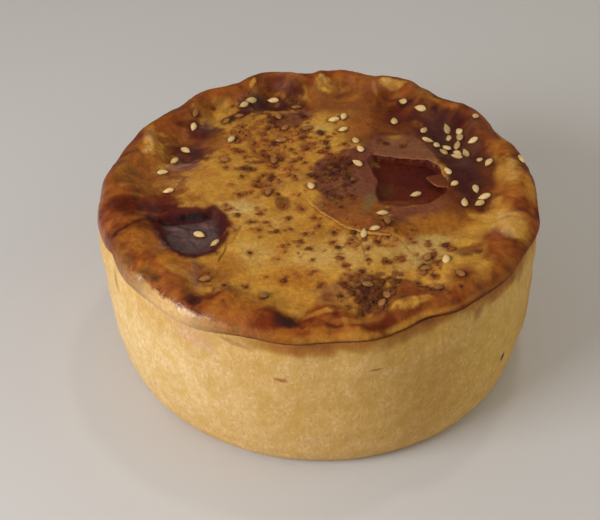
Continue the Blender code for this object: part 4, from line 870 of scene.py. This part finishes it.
def lid_colours(points):
    """Colour of each point of the lid: its upper face's, its lip's, the seam's, and the blister's floor."""
    x, y, z = points.T
    azimuth, radius = around_lid(x, y)
    right, front, seam_front, thumbed = [
        bell(turn_between(azimuth, centre), half_angle)
        for centre, half_angle in ((324.0, 22.0), (290.0, 26.0), (300.0, 42.0), (231.0, 13.0))
    ]
    in_from_edge = edge_radius(azimuth) - radius
    edge = smooth(1.0 - in_from_edge / 2.4)
    ragged = 0.35 * grain(x, y, 2.0, 88) + 0.2 * grain(x, y, 0.7, 89)
    shade = lid_field_colours(x, y)
    shade = lay(shade, 0.5 * edge * np.maximum(right, 0.1), GLAZE["russet"])
    lit = smooth((1.5 - in_from_edge) / 1.2) * front * smooth(0.75 + ragged)
    shade = lay(shade, 0.65 * lit, GLAZE["gold"])
    # A dark line along the lid's lower edge where the seam is open: partly the browned edge, partly painted
    # shade of the gap under it.
    line = smooth((seam_level(azimuth) + 0.75 + 0.45 * seam_front - z) / 0.5) * (0.6 + 0.35 * seam_front)
    shade = lay(shade, line * (1 - seam_closed(azimuth)) * edge, GLAZE["mahogany"])
    low = smooth((42.4 + ragged - z) / 0.5) * thumbed * edge
    shade = lay(shade, 0.95 * low, PASTRY["wheat"])
    sunk = smooth(4.0 * hollow_share(x, y)) * smooth(hollow_depth(x, y) / 0.4)
    return lay_stains(shade, HOLLOW_STAINS, x, y, sunk)


def lid_glaze(points):
    """How thick the glaze lies, from 0 to 1: thin everywhere, thicker in the places named."""
    x, y, _ = points.T
    azimuth, radius = around_lid(x, y)
    thick = 0.24 + 0.1 * grain(x, y, 4.0, 85) + 0.08 * grain(x, y, 1.5, 86)
    lip = seam_closed(azimuth) * smooth((radius - edge_radius(azimuth) + 2.0) / 1.4)
    thick = np.maximum(thick, 0.9 * lip)
    ragged = 0.2 * grain(x, y, 2.4, 87)
    for *oval, strength, softness in GLAZE_DEPTHS:
        thick = np.maximum(thick, strength * stain_cover(x, y, oval, softness, ragged))
    sunk = hollow_share(x, y)
    return np.clip(thick * (1.0 - sunk) + 0.2 * sunk, 0.0, 1.0)


# Egg-glazed pastry: beaten egg, brushed on and baked. The eye gets a thin clear varnish over matt
# pastry, with a fine brown mottle where the egg took, and a smooth wet gloss where it pooled.
glazed_crust, tree, shader, place = new_material("egg_glazed_pastry")
MOTTLE = 1.1
FRECKLE = 0.7
SKIN_GRAIN = 0.5
crust = add_node(tree, "Attribute", {}, attribute_name="crust_colour")
glaze = add_node(tree, "Attribute", {}, "Fac", attribute_name="glaze")
mottle, freckles, skin = [
    add_node(
        tree, "TexNoise", {"Vector": place, "Scale": 1.0 / (size * MM), "Detail": detail, "Roughness": rough}
    )
    for size, detail, rough in ((MOTTLE, 4.0, 0.65), (FRECKLE, 2.0, 0.5), (SKIN_GRAIN, 2.0, 0.6))
]
darker, freckled, wet, sheen, depth = [
    add_node(tree, "MapRange", {"Value": source, "From Min": a, "From Max": b, "To Min": c, "To Max": d})
    for source, a, b, c, d in (
        (mottle, 0.32, 0.68, 0.8, 1.16),
        (freckles, 0.66, 0.76, 0.0, 0.55),
        (glaze, 0.2, 0.8, 0.68, 0.14),
        (glaze, 0.2, 1.0, 0.12, 0.55),
        (glaze, 0.3, 1.0, 0.5, 0.3),
    )
]
varied = add_node(tree, "VectorMath", {0: crust, "Scale": darker}, operation="SCALE")
spotted = add_node(
    tree, "MixRGB", {"Fac": freckled, "Color1": varied, "Color2": (*linear("#6B3416"), 1.0)}
)
dimpled = add_node(tree, "Bump", {"Height": mottle, "Strength": depth, "Distance": 0.55 * MM})
grainy = add_node(tree, "Bump", {"Height": skin, "Normal": dimpled, "Strength": depth, "Distance": 0.2 * MM})
plug_in(tree, shader, {"Base Color": spotted, "Roughness": wet, "Normal": grainy})
plug_in(tree, shader, {"Specular IOR Level": sheen, "IOR": 1.45})

lid_points, lid_faces = make_lid_crust()
lid_crust = new_piece(
    "lid_crust",
    lid_points,
    lid_faces,
    glazed_crust,
    crust_colour=lid_colours(lid_points),
    glaze=lid_glaze(lid_points),
)
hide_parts("crimped_lid")


# ----------------------------------------------------------------------
# The skin of the blister: the lid's upper layer, which steam lifted off and burst. It is pastry half a
# millimetre thick, brittle, brown above and pale tan along its torn edge. One strip overhangs the
# hollow, one tongue hangs over it from the right, and a lip marks where the blister ended in front.
# ----------------------------------------------------------------------

SKIN_THICKNESS = 0.45
SKIN_SUNK = 0.35  # how deep the strip's back lies in the lid
SKIN_SOUND = 1.2  # how far behind its torn edge the lid under it is whole
TORN_BEND = (1.0, 3.2, 0.12, 0.25)  # how far the skin overhangs, runs back, stands proud and curls down
LIP_BEND = (0.5, 1.6, 0.1, 0.1)
SKIN_STEPS = 140
SKIN_ROWS = 9
FLAP_ROWS = 12
FLAP_COLUMNS = 60
SKIN_PATH_EASE = 9  # how many steps of the path are averaged, to round its corners
FLAP_ROOT = ((31.6, 7.4), (31.9, 0.2))  # where the tongue of skin hangs from the lid
FLAP_EDGE = ((31.0, 6.8), (27.8, 6.2), (25.0, 5.6), (26.2, 3.6), (27.6, 1.6), (29.2, 0.9), (30.9, 0.8))


def eased_path(path, steps):
    """Even steps along a path with its corners rounded, and the unit vector to its right."""
    path = np.array(path, dtype=float)
    lengths = np.concatenate([[0.0], np.cumsum(np.hypot(*np.diff(path, axis=0).T))])
    at = np.linspace(0.0, lengths[-1], steps)
    x, y = np.interp(at, lengths, path[:, 0]), np.interp(at, lengths, path[:, 1])
    half = SKIN_PATH_EASE // 2
    kernel = np.ones(SKIN_PATH_EASE) / SKIN_PATH_EASE
    x = np.convolve(np.pad(x, half, mode="edge"), kernel, mode="valid")
    y = np.convolve(np.pad(y, half, mode="edge"), kernel, mode="valid")
    run_x, run_y = np.gradient(x), np.gradient(y)
    run = np.hypot(run_x, run_y)
    return at, x, y, run_y / run, -run_x / run


def sheet_faces(rows, columns):
    """Faces of a thin sheet: its upper grid, its lower grid, and the four edges between them."""
    index = np.arange(rows * columns).reshape(rows, columns)
    under = index + rows * columns
    faces = [grid_faces(index), grid_faces(under.T)]
    sides = ((index[0], under[0]), (index[-1, ::-1], under[-1, ::-1]))
    sides += ((index[::-1, 0], under[::-1, 0]), (index[:, -1], under[:, -1]))
    for edge, below in sides:
        faces.append(np.stack([edge[:-1], below[:-1], below[1:], edge[1:]], axis=-1))
    return faces


def sheet_points(x, y, top, thickness, share):
    """Points of a sheet, upper grid then lower, and for each its share of the way to the torn edge."""
    grids = [np.stack([x, y, level], axis=-1).reshape(-1, 3) for level in (top, top - thickness)]
    return np.concatenate(grids), np.tile(np.broadcast_to(share, x.shape).ravel(), 2)


def make_skin(path, overhang, back, proud, curl, seed):
    """A strip from a sunk back to a torn edge: across it the sheet follows the lid, lifts and curls."""
    at, x, y, out_x, out_y = eased_path(path, SKIN_STEPS)
    fade = smooth(at / 3.0) * smooth((at[-1] - at) / 3.0)
    ragged = overhang * fade * (0.6 + 0.35 * grain(at, 0.0 * at, 2.7, seed))
    ragged = ragged + 0.16 * grain(at, 0.0 * at, 0.8, seed + 5) * fade
    share = np.linspace(0.0, 1.0, SKIN_ROWS)[:, None]
    reach = -back + share * (back + ragged[None, :])
    px, py = x + out_x * reach, y + out_y * reach
    sound = lid_height(x - out_x * SKIN_SOUND, y - out_y * SKIN_SOUND)
    over = smooth((reach + SKIN_SOUND) / SKIN_SOUND)
    base = lid_surface(px, py) * (1.0 - over) + sound[None, :] * over
    top = base - SKIN_SUNK + (SKIN_SUNK + proud * fade) * smooth(share / 0.55)
    top = top - curl * smooth((share - 0.7) / 0.3) + 0.07 * grain(px, py, 1.6, seed + 1) * share
    thin = SKIN_THICKNESS * (0.35 + 0.65 * smooth((1.0 - share) / 0.3))
    return sheet_points(px, py, top, thin, share)


def make_flap():
    """A tongue of straight lines from its root to its torn edge, arched, and lifted towards the edge."""
    _, edge_x, edge_y, _, _ = eased_path(FLAP_EDGE, FLAP_COLUMNS)
    along = np.linspace(0.0, 1.0, FLAP_COLUMNS)
    edge_x = edge_x + 0.22 * grain(along * 14.0, 0.0 * along, 1.1, 230)
    edge_y = edge_y + 0.22 * grain(along * 14.0, 0.0 * along, 1.1, 231)
    (ax, ay), (bx, by) = FLAP_ROOT
    share = np.linspace(0.0, 1.0, FLAP_ROWS)[:, None]
    x = (ax + (bx - ax) * along) * (1 - share) + edge_x * share
    y = (ay + (by - ay) * along) * (1 - share) + edge_y * share
    arch = 0.3 * np.sin(math.pi * along) * share
    top = lid_height(x, y) - 0.25 * (1 - share) + arch - 0.75 * share**2
    top = top + 0.12 * grain(x, y, 1.3, 220)
    return sheet_points(x, y, top, SKIN_THICKNESS * (1.0 - 0.5 * share), smooth((share - 0.86) / 0.1))


def skin_colours(points, share, edge_name, top_name):
    """Colour of a skin: the lid's own colours above, or one shade, and the paler pastry at its edge."""
    x, y, _ = points.T
    shade = lid_field_colours(x, y)
    if top_name:
        mottled = (0.5 + 0.3 * grain(x, y, 1.5, 96))[:, None]
        shade = linear(GLAZE[top_name]) * (1.15 - 0.5 * mottled)
    torn = 0.85 * smooth((share - 0.94 + 0.05 * grain(x, y, 0.9, 95)) / 0.06)
    return lay(shade, torn, GLAZE[edge_name])


# (name, points with their shares, rows, columns, colour of the torn edge, colour above, glaze)
for name, (points, share), rows, columns, edge_name, top_name, thick in (
    ("torn_skin", make_skin(TORN_EDGE, *TORN_BEND, 200), SKIN_ROWS, SKIN_STEPS, "blush", "", 0.24),
    ("blister_lip", make_skin(LIP_PATH, *LIP_BEND, 210), SKIN_ROWS, SKIN_STEPS, "dun", "", 0.3),
    ("skin_flap", make_flap(), FLAP_ROWS, FLAP_COLUMNS, "blush", "russet", 0.35),
):
    piece = new_piece(
        name,
        points,
        sheet_faces(rows, columns),
        glazed_crust,
        crust_colour=skin_colours(points, share, edge_name, top_name),
        glaze=np.full(len(points), thick),
    )
    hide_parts("crimped_lid")


# ----------------------------------------------------------------------
# The sesame seeds: hulled, about 3.2 mm long, strewn on the wet egg and baked in place. Most stayed
# cream; some browned in the oven or sank in the glaze. A seed is a flattened drop, pointed at one end.
# ----------------------------------------------------------------------

SESAME = (3.3, 1.8, 0.95)  # length, width, thickness
SESAME_BURIED = 0.16
SESAME_SIZES = (0.9, 1.08)  # least and greatest size of a seed, as a share of SESAME
SESAME_RANDOM = 11
SEED_STATIONS = 11
SEED_SIDES = 12
PROBE = 0.8
STEEPEST = 0.7
PALE_SEEDS = (  # (x, y, heading from the pointed tip to the round end): seeds that stayed pale
    (-37.8, 6.8, 180), (-35.6, 11.8, 62), (-33.1, 17, 140), (-31.8, 24.5, 90), (-35.8, -1.7, 15),
    (-27.4, -16.2, 146), (-23.7, -19.7, 45), (-19.7, 35, 40), (-18, 37.1, 20), (-12.3, 39.9, 0),
    (-22, 19.6, 70), (-2.1, 0.1, 290), (3.3, 29.3, 20), (5.9, 30.5, 80), (5.6, 25.1, 30),
    (8.7, 19.1, 280), (9.8, 14.5, 290), (9, 8.9, 320), (18.6, 28.8, 270), (21.3, 37.6, 320),
    (25.4, 32.6, 335), (26, 25.9, 239), (26.8, 21.5, 170), (28.8, 19.9, 254), (31.4, 19.4, 311),
    (32, 27.7, 279), (32.4, 24.2, 281), (34.9, 24.2, 295), (34.8, 21.7, 292), (37.7, 18.8, 20),
    (34.1, 19.5, 250), (36, 16.3, 285), (34.1, 16.9, 140), (33.4, 13.9, 325), (30.3, 16.5, 300),
    (39, 11.9, 280), (40.8, 9.2, 57), (38.9, 27.8, 70), (48.8, 11.5, 110), (30.8, 6.9, 295),
    (31.9, 1.4, 50), (37.1, 0.4, 100), (22.9, 0.3, 20), (34, -5.1, 270), (38.9, -2.4, 10),
    (37.5, -4.9, 40), (14.5, -10.1, 10), (10.2, -18.1, 265), (12.6, -16.9, 30), (28.4, -26.1, 270),
)
TOASTED_SEEDS = (  # seeds that browned, or sank in the glaze
    (-12.1, -2.1, 80), (-11.3, 11.5, 95), (-23.3, 10.9, 330), (-31.6, 28.9, 90), (-9.8, 20.2, 0),
    (-3.3, 25.3, 20), (-8.9, 25.3, 60), (-10.7, 30.6, 120), (-6.3, 36, 0), (-20.7, 30.9, 30),
    (-23.8, 28.5, 60), (-11.9, -39.3, 65), (-25.1, -33.7, 20), (31, -32.6, 310), (24.3, -25.6, 70),
    (23.5, -29.4, 20), (10.6, -34.8, 345), (14.9, -38.5, 300), (13.8, -42.2, 80), (26, -36, 30),
    (15.7, -13.4, 95),
)
DIM_PLACES = ((32.0, 27.7), (34.8, 21.7), (30.3, 16.5), (34.1, 19.5), (36.0, 16.3))  # sunk in glaze


def surface_axes(places):
    """Points on the lid at each place, and three axes there: along its heading, across it, and out."""
    x, y, heading = np.array(places, dtype=float).T
    here = lid_surface(x, y)
    slope_x = (lid_surface(x + PROBE, y) - here) / PROBE
    slope_y = (lid_surface(x, y + PROBE) - here) / PROBE
    eased = np.minimum(1.0, STEEPEST / np.maximum(np.hypot(slope_x, slope_y), STEEPEST))
    out = np.stack([-slope_x * eased, -slope_y * eased, np.ones_like(x)], axis=-1)
    out = out / np.linalg.norm(out, axis=-1, keepdims=True)
    along = round_points(1.0, heading, 0.0)
    along = along - out * np.sum(along * out, axis=-1, keepdims=True)
    along = along / np.linalg.norm(along, axis=-1, keepdims=True)
    return np.stack([x, y, here], axis=-1), along, np.cross(out, along), out


def drop_points(centre, axes, offsets, first, last):
    """Points of closed drops: one tip, rings set off from the centre along the three axes, other tip."""
    rings = centre[:, None, None] + sum(
        axis[:, None, None] * offset[..., None] for axis, offset in zip(axes, offsets)
    )
    rings = rings.reshape(len(centre), -1, 3)
    return np.concatenate([first[:, None], rings, last[:, None]], axis=1).reshape(-1, 3)


def drop_faces(stations, sides, count):
    """Faces of many closed drops: bands round each, and a fan of triangles at each of its two ends."""
    size = stations * sides + 2
    bands = band_faces(stations, sides, 1)[:, ::-1]
    k = np.arange(sides)
    last = (stations - 1) * sides + 1
    first_fan = np.stack([np.zeros(sides, int), 1 + k, 1 + (k + 1) % sides], axis=-1)
    last_fan = np.stack([np.full(sides, size - 1), last + (k + 1) % sides, last + k], axis=-1)
    steps = (np.arange(count) * size)[:, None, None]
    return [(part[None] + steps).reshape(-1, part.shape[1]) for part in (bands, first_fan, last_fan)]


def make_seeds(places, sizes, seed):
    """Drops: width sin-shaped and pulled to the round end, thickness its root, surface a little uneven."""
    place, *axes = surface_axes(places)
    length, width, thickness = (measure * sizes[:, None, None] for measure in SESAME)
    centre = place + axes[2] * (0.5 * thickness[:, 0] - SESAME_BURIED)
    share = np.linspace(0.0, 1.0, SEED_STATIONS + 2)[1:-1]
    plump = np.sin(math.pi * share**1.35) ** 0.8
    plump = plump / plump.max()
    angle = 2.0 * math.pi * np.arange(SEED_SIDES) / SEED_SIDES
    side = plump[:, None] * np.cos(angle)[None, :]
    rise = (plump**0.75)[:, None] * np.sin(angle)[None, :]
    draw = np.random.default_rng(seed)
    uneven = 1.0 + draw.uniform(-0.05, 0.05, (len(place), SEED_STATIONS, SEED_SIDES))
    bend = draw.uniform(-0.12, 0.12, len(place))[:, None] * (4.0 * share * (1.0 - share))[None, :]
    sideways = 0.5 * width * side[None] * uneven + bend[:, :, None]
    upwards = 0.5 * thickness * rise[None] * uneven
    half = axes[0] * (0.5 * length[:, 0])
    offsets = (length * (share - 0.5)[None, :, None], sideways, upwards)
    points = drop_points(centre, axes, offsets, centre - half, centre + half)
    along_share = np.concatenate([[0.0], np.repeat(share, SEED_SIDES), [1.0]])
    brim = np.concatenate([[1.0], np.abs(side).ravel() ** 3, [0.6]])
    return points, np.tile(along_share, len(place)), np.tile(brim, len(place))


def seed_colours(places, share, brim, body, tip, edge, dim, seed):
    """Colour of each point: the body's, darker at the tip and round the brim, each seed a little its own."""
    size = len(share) // len(places)
    own = np.random.default_rng(seed).uniform(-1.0, 1.0, len(places))
    sunk = [min(math.hypot(x - dx, y - dy) for dx, dy in DIM_PLACES) < 1.7 for x, y, _ in places]
    shade = linear(body)[None, :] * (1.0 + 0.16 * np.repeat(own, size))[:, None]
    shade = lay(shade, 0.85 * smooth((0.24 - share) / 0.2), tip)
    shade = lay(shade, 0.7 * smooth((brim - 0.35) / 0.5), edge)
    return lay(shade, 0.55 * np.repeat(sunk, size), dim)


# Hulled sesame, baked: a dense oily seed with a thin dull skin. The eye gets a smooth cream drop with a
# soft gloss, a browner tip where it hung from the pod, and a faint darker line round its brim.
sesame, tree, shader, place = new_material("baked_hulled_sesame")
SEED_GRAIN = 0.35
crust = add_node(tree, "Attribute", {}, attribute_name="crust_colour")
grains = add_node(
    tree, "TexNoise", {"Vector": place, "Scale": 1.0 / (SEED_GRAIN * MM), "Detail": 2.0, "Roughness": 0.5}
)
shaded = add_node(
    tree, "MapRange", {"Value": grains, "From Min": 0.3, "From Max": 0.7, "To Min": 0.86, "To Max": 1.1}
)
varied = add_node(tree, "VectorMath", {0: crust, "Scale": shaded}, operation="SCALE")
skinned = add_node(tree, "Bump", {"Height": grains, "Strength": 0.25, "Distance": 0.08 * MM})
plug_in(tree, shader, {"Base Color": varied, "Normal": skinned, "Roughness": 0.38, "IOR": 1.47})

seed_count = len(PALE_SEEDS) + len(TOASTED_SEEDS)
seed_sizes = np.random.default_rng(SESAME_RANDOM).uniform(*SESAME_SIZES, seed_count)
pale_sizes, toasted_sizes = np.split(seed_sizes, [len(PALE_SEEDS)])
# (name, places, sizes, random start, colours of the body, the tip, the brim and a seed sunk in glaze)
for name, places, sizes, seed, shades in (
    ("pale_sesame", PALE_SEEDS, pale_sizes, 300, ("#DCBC82", "#9A6630", "#A2703A", "#8A6A38")),
    ("toasted_sesame", TOASTED_SEEDS, toasted_sizes, 302, ("#98622A", "#3E1E0C", "#4C260E", "#5A4020")),
):
    points, share, brim = make_seeds(places, sizes, seed)
    piece = new_piece(
        name,
        points,
        drop_faces(SEED_STATIONS, SEED_SIDES, len(places)),
        sesame,
        crust_colour=seed_colours(places, share, brim, *shades, seed + 1),
    )
    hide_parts("crimped_lid")


# ----------------------------------------------------------------------
# The spice: cracked pepper and dried herb, strewn with the seeds. Coarse flakes a millimetre or two
# across and dust-fine specks lie half sunk in the glaze, from rust to nearly black.
# ----------------------------------------------------------------------

FLAKE_RANDOM = 23
FLAKE_GROUPS = (  # (x, y, spread, how many, and where it is kept: heading, how far it strays): flakes
    (-7.6, -33.6, 0.3, 1, 30, 20), (-14, 14, 11, 12), (-4, 20, 8, 6), (3.5, 5, 6.5, 9),
    (-10, -12, 12, 7), (6, -27, 12, 9), (23, -23, 9, 7), (12, -38, 6, 9),
)
FLAKE_SIZE = (0.55, 1.15)
FLAKE_SPACING = 2.0
FLAKE_HEIGHT = 0.4
FLAKE_CORNERS = 9
FINE_CORNERS = 5
FLAKE_LEVELS = 4  # rings of points from the foot of a flake to its top
FINE_RANDOM = 31
FINE_GROUPS = (  # (x, y, spread, how many): clusters of fine crumbs
    (-12, 20, 11, 62), (-12, 8, 12, 30), (4, 9, 6, 22), (4, -1, 6, 14), (3, 17, 6, 10),
    (-4, -14, 12, 22), (-18, -2, 9, 12), (4, -26, 12, 24), (20, -22, 10, 18), (12, -37, 8, 34),
    (26, -35, 6, 12), (-8, 32, 9, 14), (-20, -38, 8, 5), (20, 28, 10, 6), (17, -13, 6, 14),
    (-10, -26, 10, 9),
)
FINE_SPACING = 1.1
CRUMBS = (1, 5)  # least and greatest number of crumbs in a cluster
CRUMB_SPREAD = 0.5
FINE_SIZE = (0.1, 0.75)
SPICE = ("#86481A", "#94561E", "#743A14", "#66300F", "#9C642A", "#542610", "#7A4016")
THICK_GLAZE = ((4.0, 4.0, 6.5), (4.0, -3.0, 4.0), (12.0, -38.0, 5.5), (26.0, 25.0, 12.0), (-10.0, 34.0, 6.0))


def scatter(groups, spacing, draw):
    """Places in each group's circle, never closer to one another than spacing: (x, y, heading)."""
    placed = []
    for centre_x, centre_y, spread, count, *headed in groups:
        middle, stray = headed or (0.0, 180.0)
        found = tries = 0
        while found < count and tries < 400:
            tries += 1
            angle, reach = draw.uniform(0.0, 2.0 * math.pi), spread * math.sqrt(draw.uniform())
            x, y = centre_x + reach * math.cos(angle), centre_y + reach * math.sin(angle)
            heading = middle + draw.uniform(-stray, stray)
            if all(math.hypot(x - px, y - py) >= spacing for px, py, _ in placed):
                placed.append((x, y, heading))
                found += 1
    return placed


def make_flakes(places, sizes, corners, seed):
    """Low crags: an uneven outline at the lid, a smaller uneven one above it, and a point under it."""
    place, *axes = surface_axes(places)
    draw = np.random.default_rng(seed)
    angle = 2.0 * math.pi * np.arange(corners) / corners
    uneven = draw.uniform(0.72, 1.15, (len(place), 1, corners))
    levels = np.array([-0.3, 0.35, 0.9, 1.0])[:, None]
    widths = np.array([0.75, 1.0, 0.72, 0.3])[:, None]
    half, narrow, height = (size[:, None, None] for size in sizes)
    reach = half * widths * uneven * np.cos(angle)
    aside = narrow * widths * uneven * np.sin(angle)
    rise = height * levels * draw.uniform(0.8, 1.2, (len(place), FLAKE_LEVELS, corners))
    up = axes[2] * height[:, 0]
    return drop_points(place, axes, (reach, aside, rise), place - 0.5 * up, place + up)


def spice_shades(places, seed):
    """One colour for each flake, drawn from the spice's shades and darker where thick glaze covers it."""
    draw = np.random.default_rng(seed)
    x, y, _ = np.array(places).T
    under = np.zeros(len(x))
    for centre_x, centre_y, reach in THICK_GLAZE:
        under = np.maximum(under, 1.0 - smooth((np.hypot(x - centre_x, y - centre_y) - reach) / 3.0))
    shades = np.array([linear(shade) for shade in SPICE])
    shades = shades[draw.integers(0, len(SPICE), len(x))] * draw.uniform(0.75, 1.2, (len(x), 1))
    return shades * (1.0 - 0.5 * under)[:, None]


def bleed_into(piece, places, reaches, shades, strength):
    """Lays a shade round each flake or seed on the lid, fading out from its foot to its reach."""
    mesh = piece.data
    points = np.empty(len(mesh.vertices) * 3)
    mesh.vertices.foreach_get("co", points)
    x, y, _ = points.reshape(-1, 3).T / MM
    field = mesh.attributes["crust_colour"].data
    colours = np.empty(len(mesh.vertices) * 4, dtype=np.float32)
    field.foreach_get("color", colours)
    colours = colours.reshape(-1, 4)
    for (centre_x, centre_y, _), reach, shade in zip(places, reaches, shades):
        near = np.nonzero((np.abs(x - centre_x) < reach * 1.4) & (np.abs(y - centre_y) < reach * 1.4))[0]
        away = np.hypot(x[near] - centre_x, y[near] - centre_y) / reach
        away = away + 0.35 * grain(x[near], y[near], 0.8, 410)
        cover = (strength * (1.0 - smooth((away - 0.3) / 0.8)))[:, None]
        colours[near, :3] = colours[near, :3] * (1 - cover) + shade * 1.4 * cover
    field.foreach_set("color", colours.ravel())


# Cracked pepper and dried herb, baked in egg: dark husk, rough where it broke. The eye gets brown specks
# with a rusty halo, dull on top and slightly wet at the foot.
dried_spice, tree, shader, place = new_material("cracked_pepper_and_dried_herb")
HUSK = 0.3
crust = add_node(tree, "Attribute", {}, attribute_name="crust_colour")
husk = add_node(
    tree, "TexNoise", {"Vector": place, "Scale": 1.0 / (HUSK * MM), "Detail": 2.0, "Roughness": 0.6}
)
shaded = add_node(
    tree, "MapRange", {"Value": husk, "From Min": 0.3, "From Max": 0.7, "To Min": 0.6, "To Max": 1.5}
)
varied = add_node(tree, "VectorMath", {0: crust, "Scale": shaded}, operation="SCALE")
broken = add_node(tree, "Bump", {"Height": husk, "Strength": 0.6, "Distance": 0.1 * MM})
plug_in(tree, shader, {"Base Color": varied, "Normal": broken, "Roughness": 0.5, "Specular IOR Level": 0.25})

draw = np.random.default_rng(FLAKE_RANDOM)
flake_places = scatter(FLAKE_GROUPS, FLAKE_SPACING, draw)
flake_halves = draw.uniform(*FLAKE_SIZE, len(flake_places))
flake_narrows = flake_halves * draw.uniform(0.55, 0.9, len(flake_places))
flake_heights = FLAKE_HEIGHT * draw.uniform(0.8, 1.2, len(flake_places))
draw = np.random.default_rng(FINE_RANDOM)
clusters = np.array(scatter(FINE_GROUPS, FINE_SPACING, draw))
crumbs = draw.integers(CRUMBS[0], CRUMBS[1] + 1, len(clusters))
fine_places = np.repeat(clusters, crumbs, axis=0)
fine_places[:, :2] += draw.normal(0.0, CRUMB_SPREAD, (len(fine_places), 2))
fine_places[:, 2] = draw.uniform(0.0, 360.0, len(fine_places))
fine_halves = FINE_SIZE[0] + (FINE_SIZE[1] - FINE_SIZE[0]) * draw.uniform(0.0, 1.0, len(fine_places)) ** 3
fine_narrows = fine_halves * draw.uniform(0.5, 1.0, len(fine_places))
flake_shades, fine_shades = spice_shades(flake_places, 401), spice_shades(fine_places, 403)
flake_sizes = (flake_halves, flake_narrows, flake_heights)
fine_sizes = (fine_halves, fine_narrows, fine_halves * 0.45)
for name, places, sizes, corners, seed, shades in (
    ("spice_flakes", flake_places, flake_sizes, FLAKE_CORNERS, 400, flake_shades),
    ("fine_spice", fine_places, fine_sizes, FINE_CORNERS, 402, fine_shades),
):
    piece = new_piece(
        name,
        make_flakes(places, sizes, corners, seed),
        drop_faces(FLAKE_LEVELS, corners, len(places)),
        dried_spice,
        crust_colour=np.repeat(shades, FLAKE_LEVELS * corners + 2, axis=0),
    )
    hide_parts("crimped_lid")
bleed_into(lid_crust, flake_places, flake_halves * 1.3 + 0.6, flake_shades, 0.7)
# Round each seed a dark ring: partly glaze that gathered at its foot, partly painted contact shadow.
glaze_rings_and_contact_shade = np.repeat(linear("#4A220C")[None], seed_count, axis=0)
bleed_into(lid_crust, PALE_SEEDS + TOASTED_SEEDS, np.full(seed_count, 2.1), glaze_rings_and_contact_shade, 0.6)
bleed_into(lid_crust, fine_places, fine_halves * 2.0 + 0.45, fine_shades, 0.62)


# ----------------------------------------------------------------------
# Where it stands: a plain pale worktop, and the camera. A window at the front left lights it, with soft
# warm light from the right, a small lamp overhead and a cool window behind that show the glaze's gloss.
# ----------------------------------------------------------------------

FLOOR_HALF = 1500.0
CLOUD = 120.0  # size of the faint clouds in the worktop's tone
SENSOR_WIDTH = 36.0
CAMERA_LENS = 87.3
CAMERA_PLACE = (0.0, -0.27898, 0.24753)  # metres, as all places of lights are
CAMERA_AIM = (-0.00463, 0.0, 0.02135)

worktop, tree, shader, place = new_material("satin_laminate_worktop")
cloudy = add_node(tree, "TexNoise", {"Vector": place, "Scale": 1.0 / (CLOUD * MM), "Detail": 2.0})
greys = [(*linear(shade), 1.0) for shade in ("#C9C8CA", "#D0CFD1")]
tone = add_node(tree, "MixRGB", {"Fac": cloudy, "Color1": greys[0], "Color2": greys[1]})
plug_in(tree, shader, {"Base Color": tone, "Roughness": 0.6})

floor_mesh = bpy.data.meshes.new("worktop")
floor_corners = np.array([(-1.0, -1.0, 0.0), (1.0, -1.0, 0.0), (1.0, 1.0, 0.0), (-1.0, 1.0, 0.0)])
floor_mesh.from_pydata((floor_corners * FLOOR_HALF * MM).tolist(), [], [(0, 1, 2, 3)])
floor_mesh.materials.append(worktop)
floor = bpy.data.objects.new("worktop", floor_mesh)
bpy.context.scene.collection.objects.link(floor)


def add_light(name, place, aim, size, power, shade):
    """A square area light at a place, turned to its aim."""
    lamp = bpy.data.lights.new(name, "AREA")
    lamp.shape = "RECTANGLE"
    lamp.size, lamp.size_y = size
    lamp.energy = power
    lamp.color = linear(shade)
    light = bpy.data.objects.new(name, lamp)
    light.location = place
    light.rotation_euler = (Vector(aim) - Vector(place)).to_track_quat("-Z", "Y").to_euler()
    bpy.context.scene.collection.objects.link(light)


add_light("window", (-0.36, -0.26, 0.27), (0.0, 0.0, 0.02), (0.26, 0.22), 1.9, "#FFFFFF")
add_light("fill", (0.55, -0.05, 0.3), (0.0, 0.0, 0.02), (0.5, 0.4), 0.74, "#F8FBE8")
add_light("lamp", (0.1, 0.16, 0.7), (0.0, 0.0, 0.03), (0.05, 0.05), 0.34, "#FFF4E6")
add_light("back_window", (0.05, 0.75, 0.62), (0.0, 0.0, 0.03), (0.4, 0.2), 0.18, "#F0F0FF")

world = bpy.data.worlds.new("room")
world.use_nodes = True
world.node_tree.nodes["Background"].inputs["Color"].default_value = (*linear("#FFF4E2"), 1.0)
world.node_tree.nodes["Background"].inputs["Strength"].default_value = 0.36
bpy.context.scene.world = world
bpy.context.scene.view_settings.view_transform = "Standard"

camera_data = bpy.data.cameras.new("camera")
camera_data.sensor_width = SENSOR_WIDTH
camera_data.lens = CAMERA_LENS
camera_data.clip_start = 0.01
camera = bpy.data.objects.new("camera", camera_data)
camera.location = CAMERA_PLACE
camera.rotation_euler = (Vector(CAMERA_AIM) - Vector(CAMERA_PLACE)).to_track_quat("-Z", "Y").to_euler()
bpy.context.scene.collection.objects.link(camera)
bpy.context.scene.camera = camera
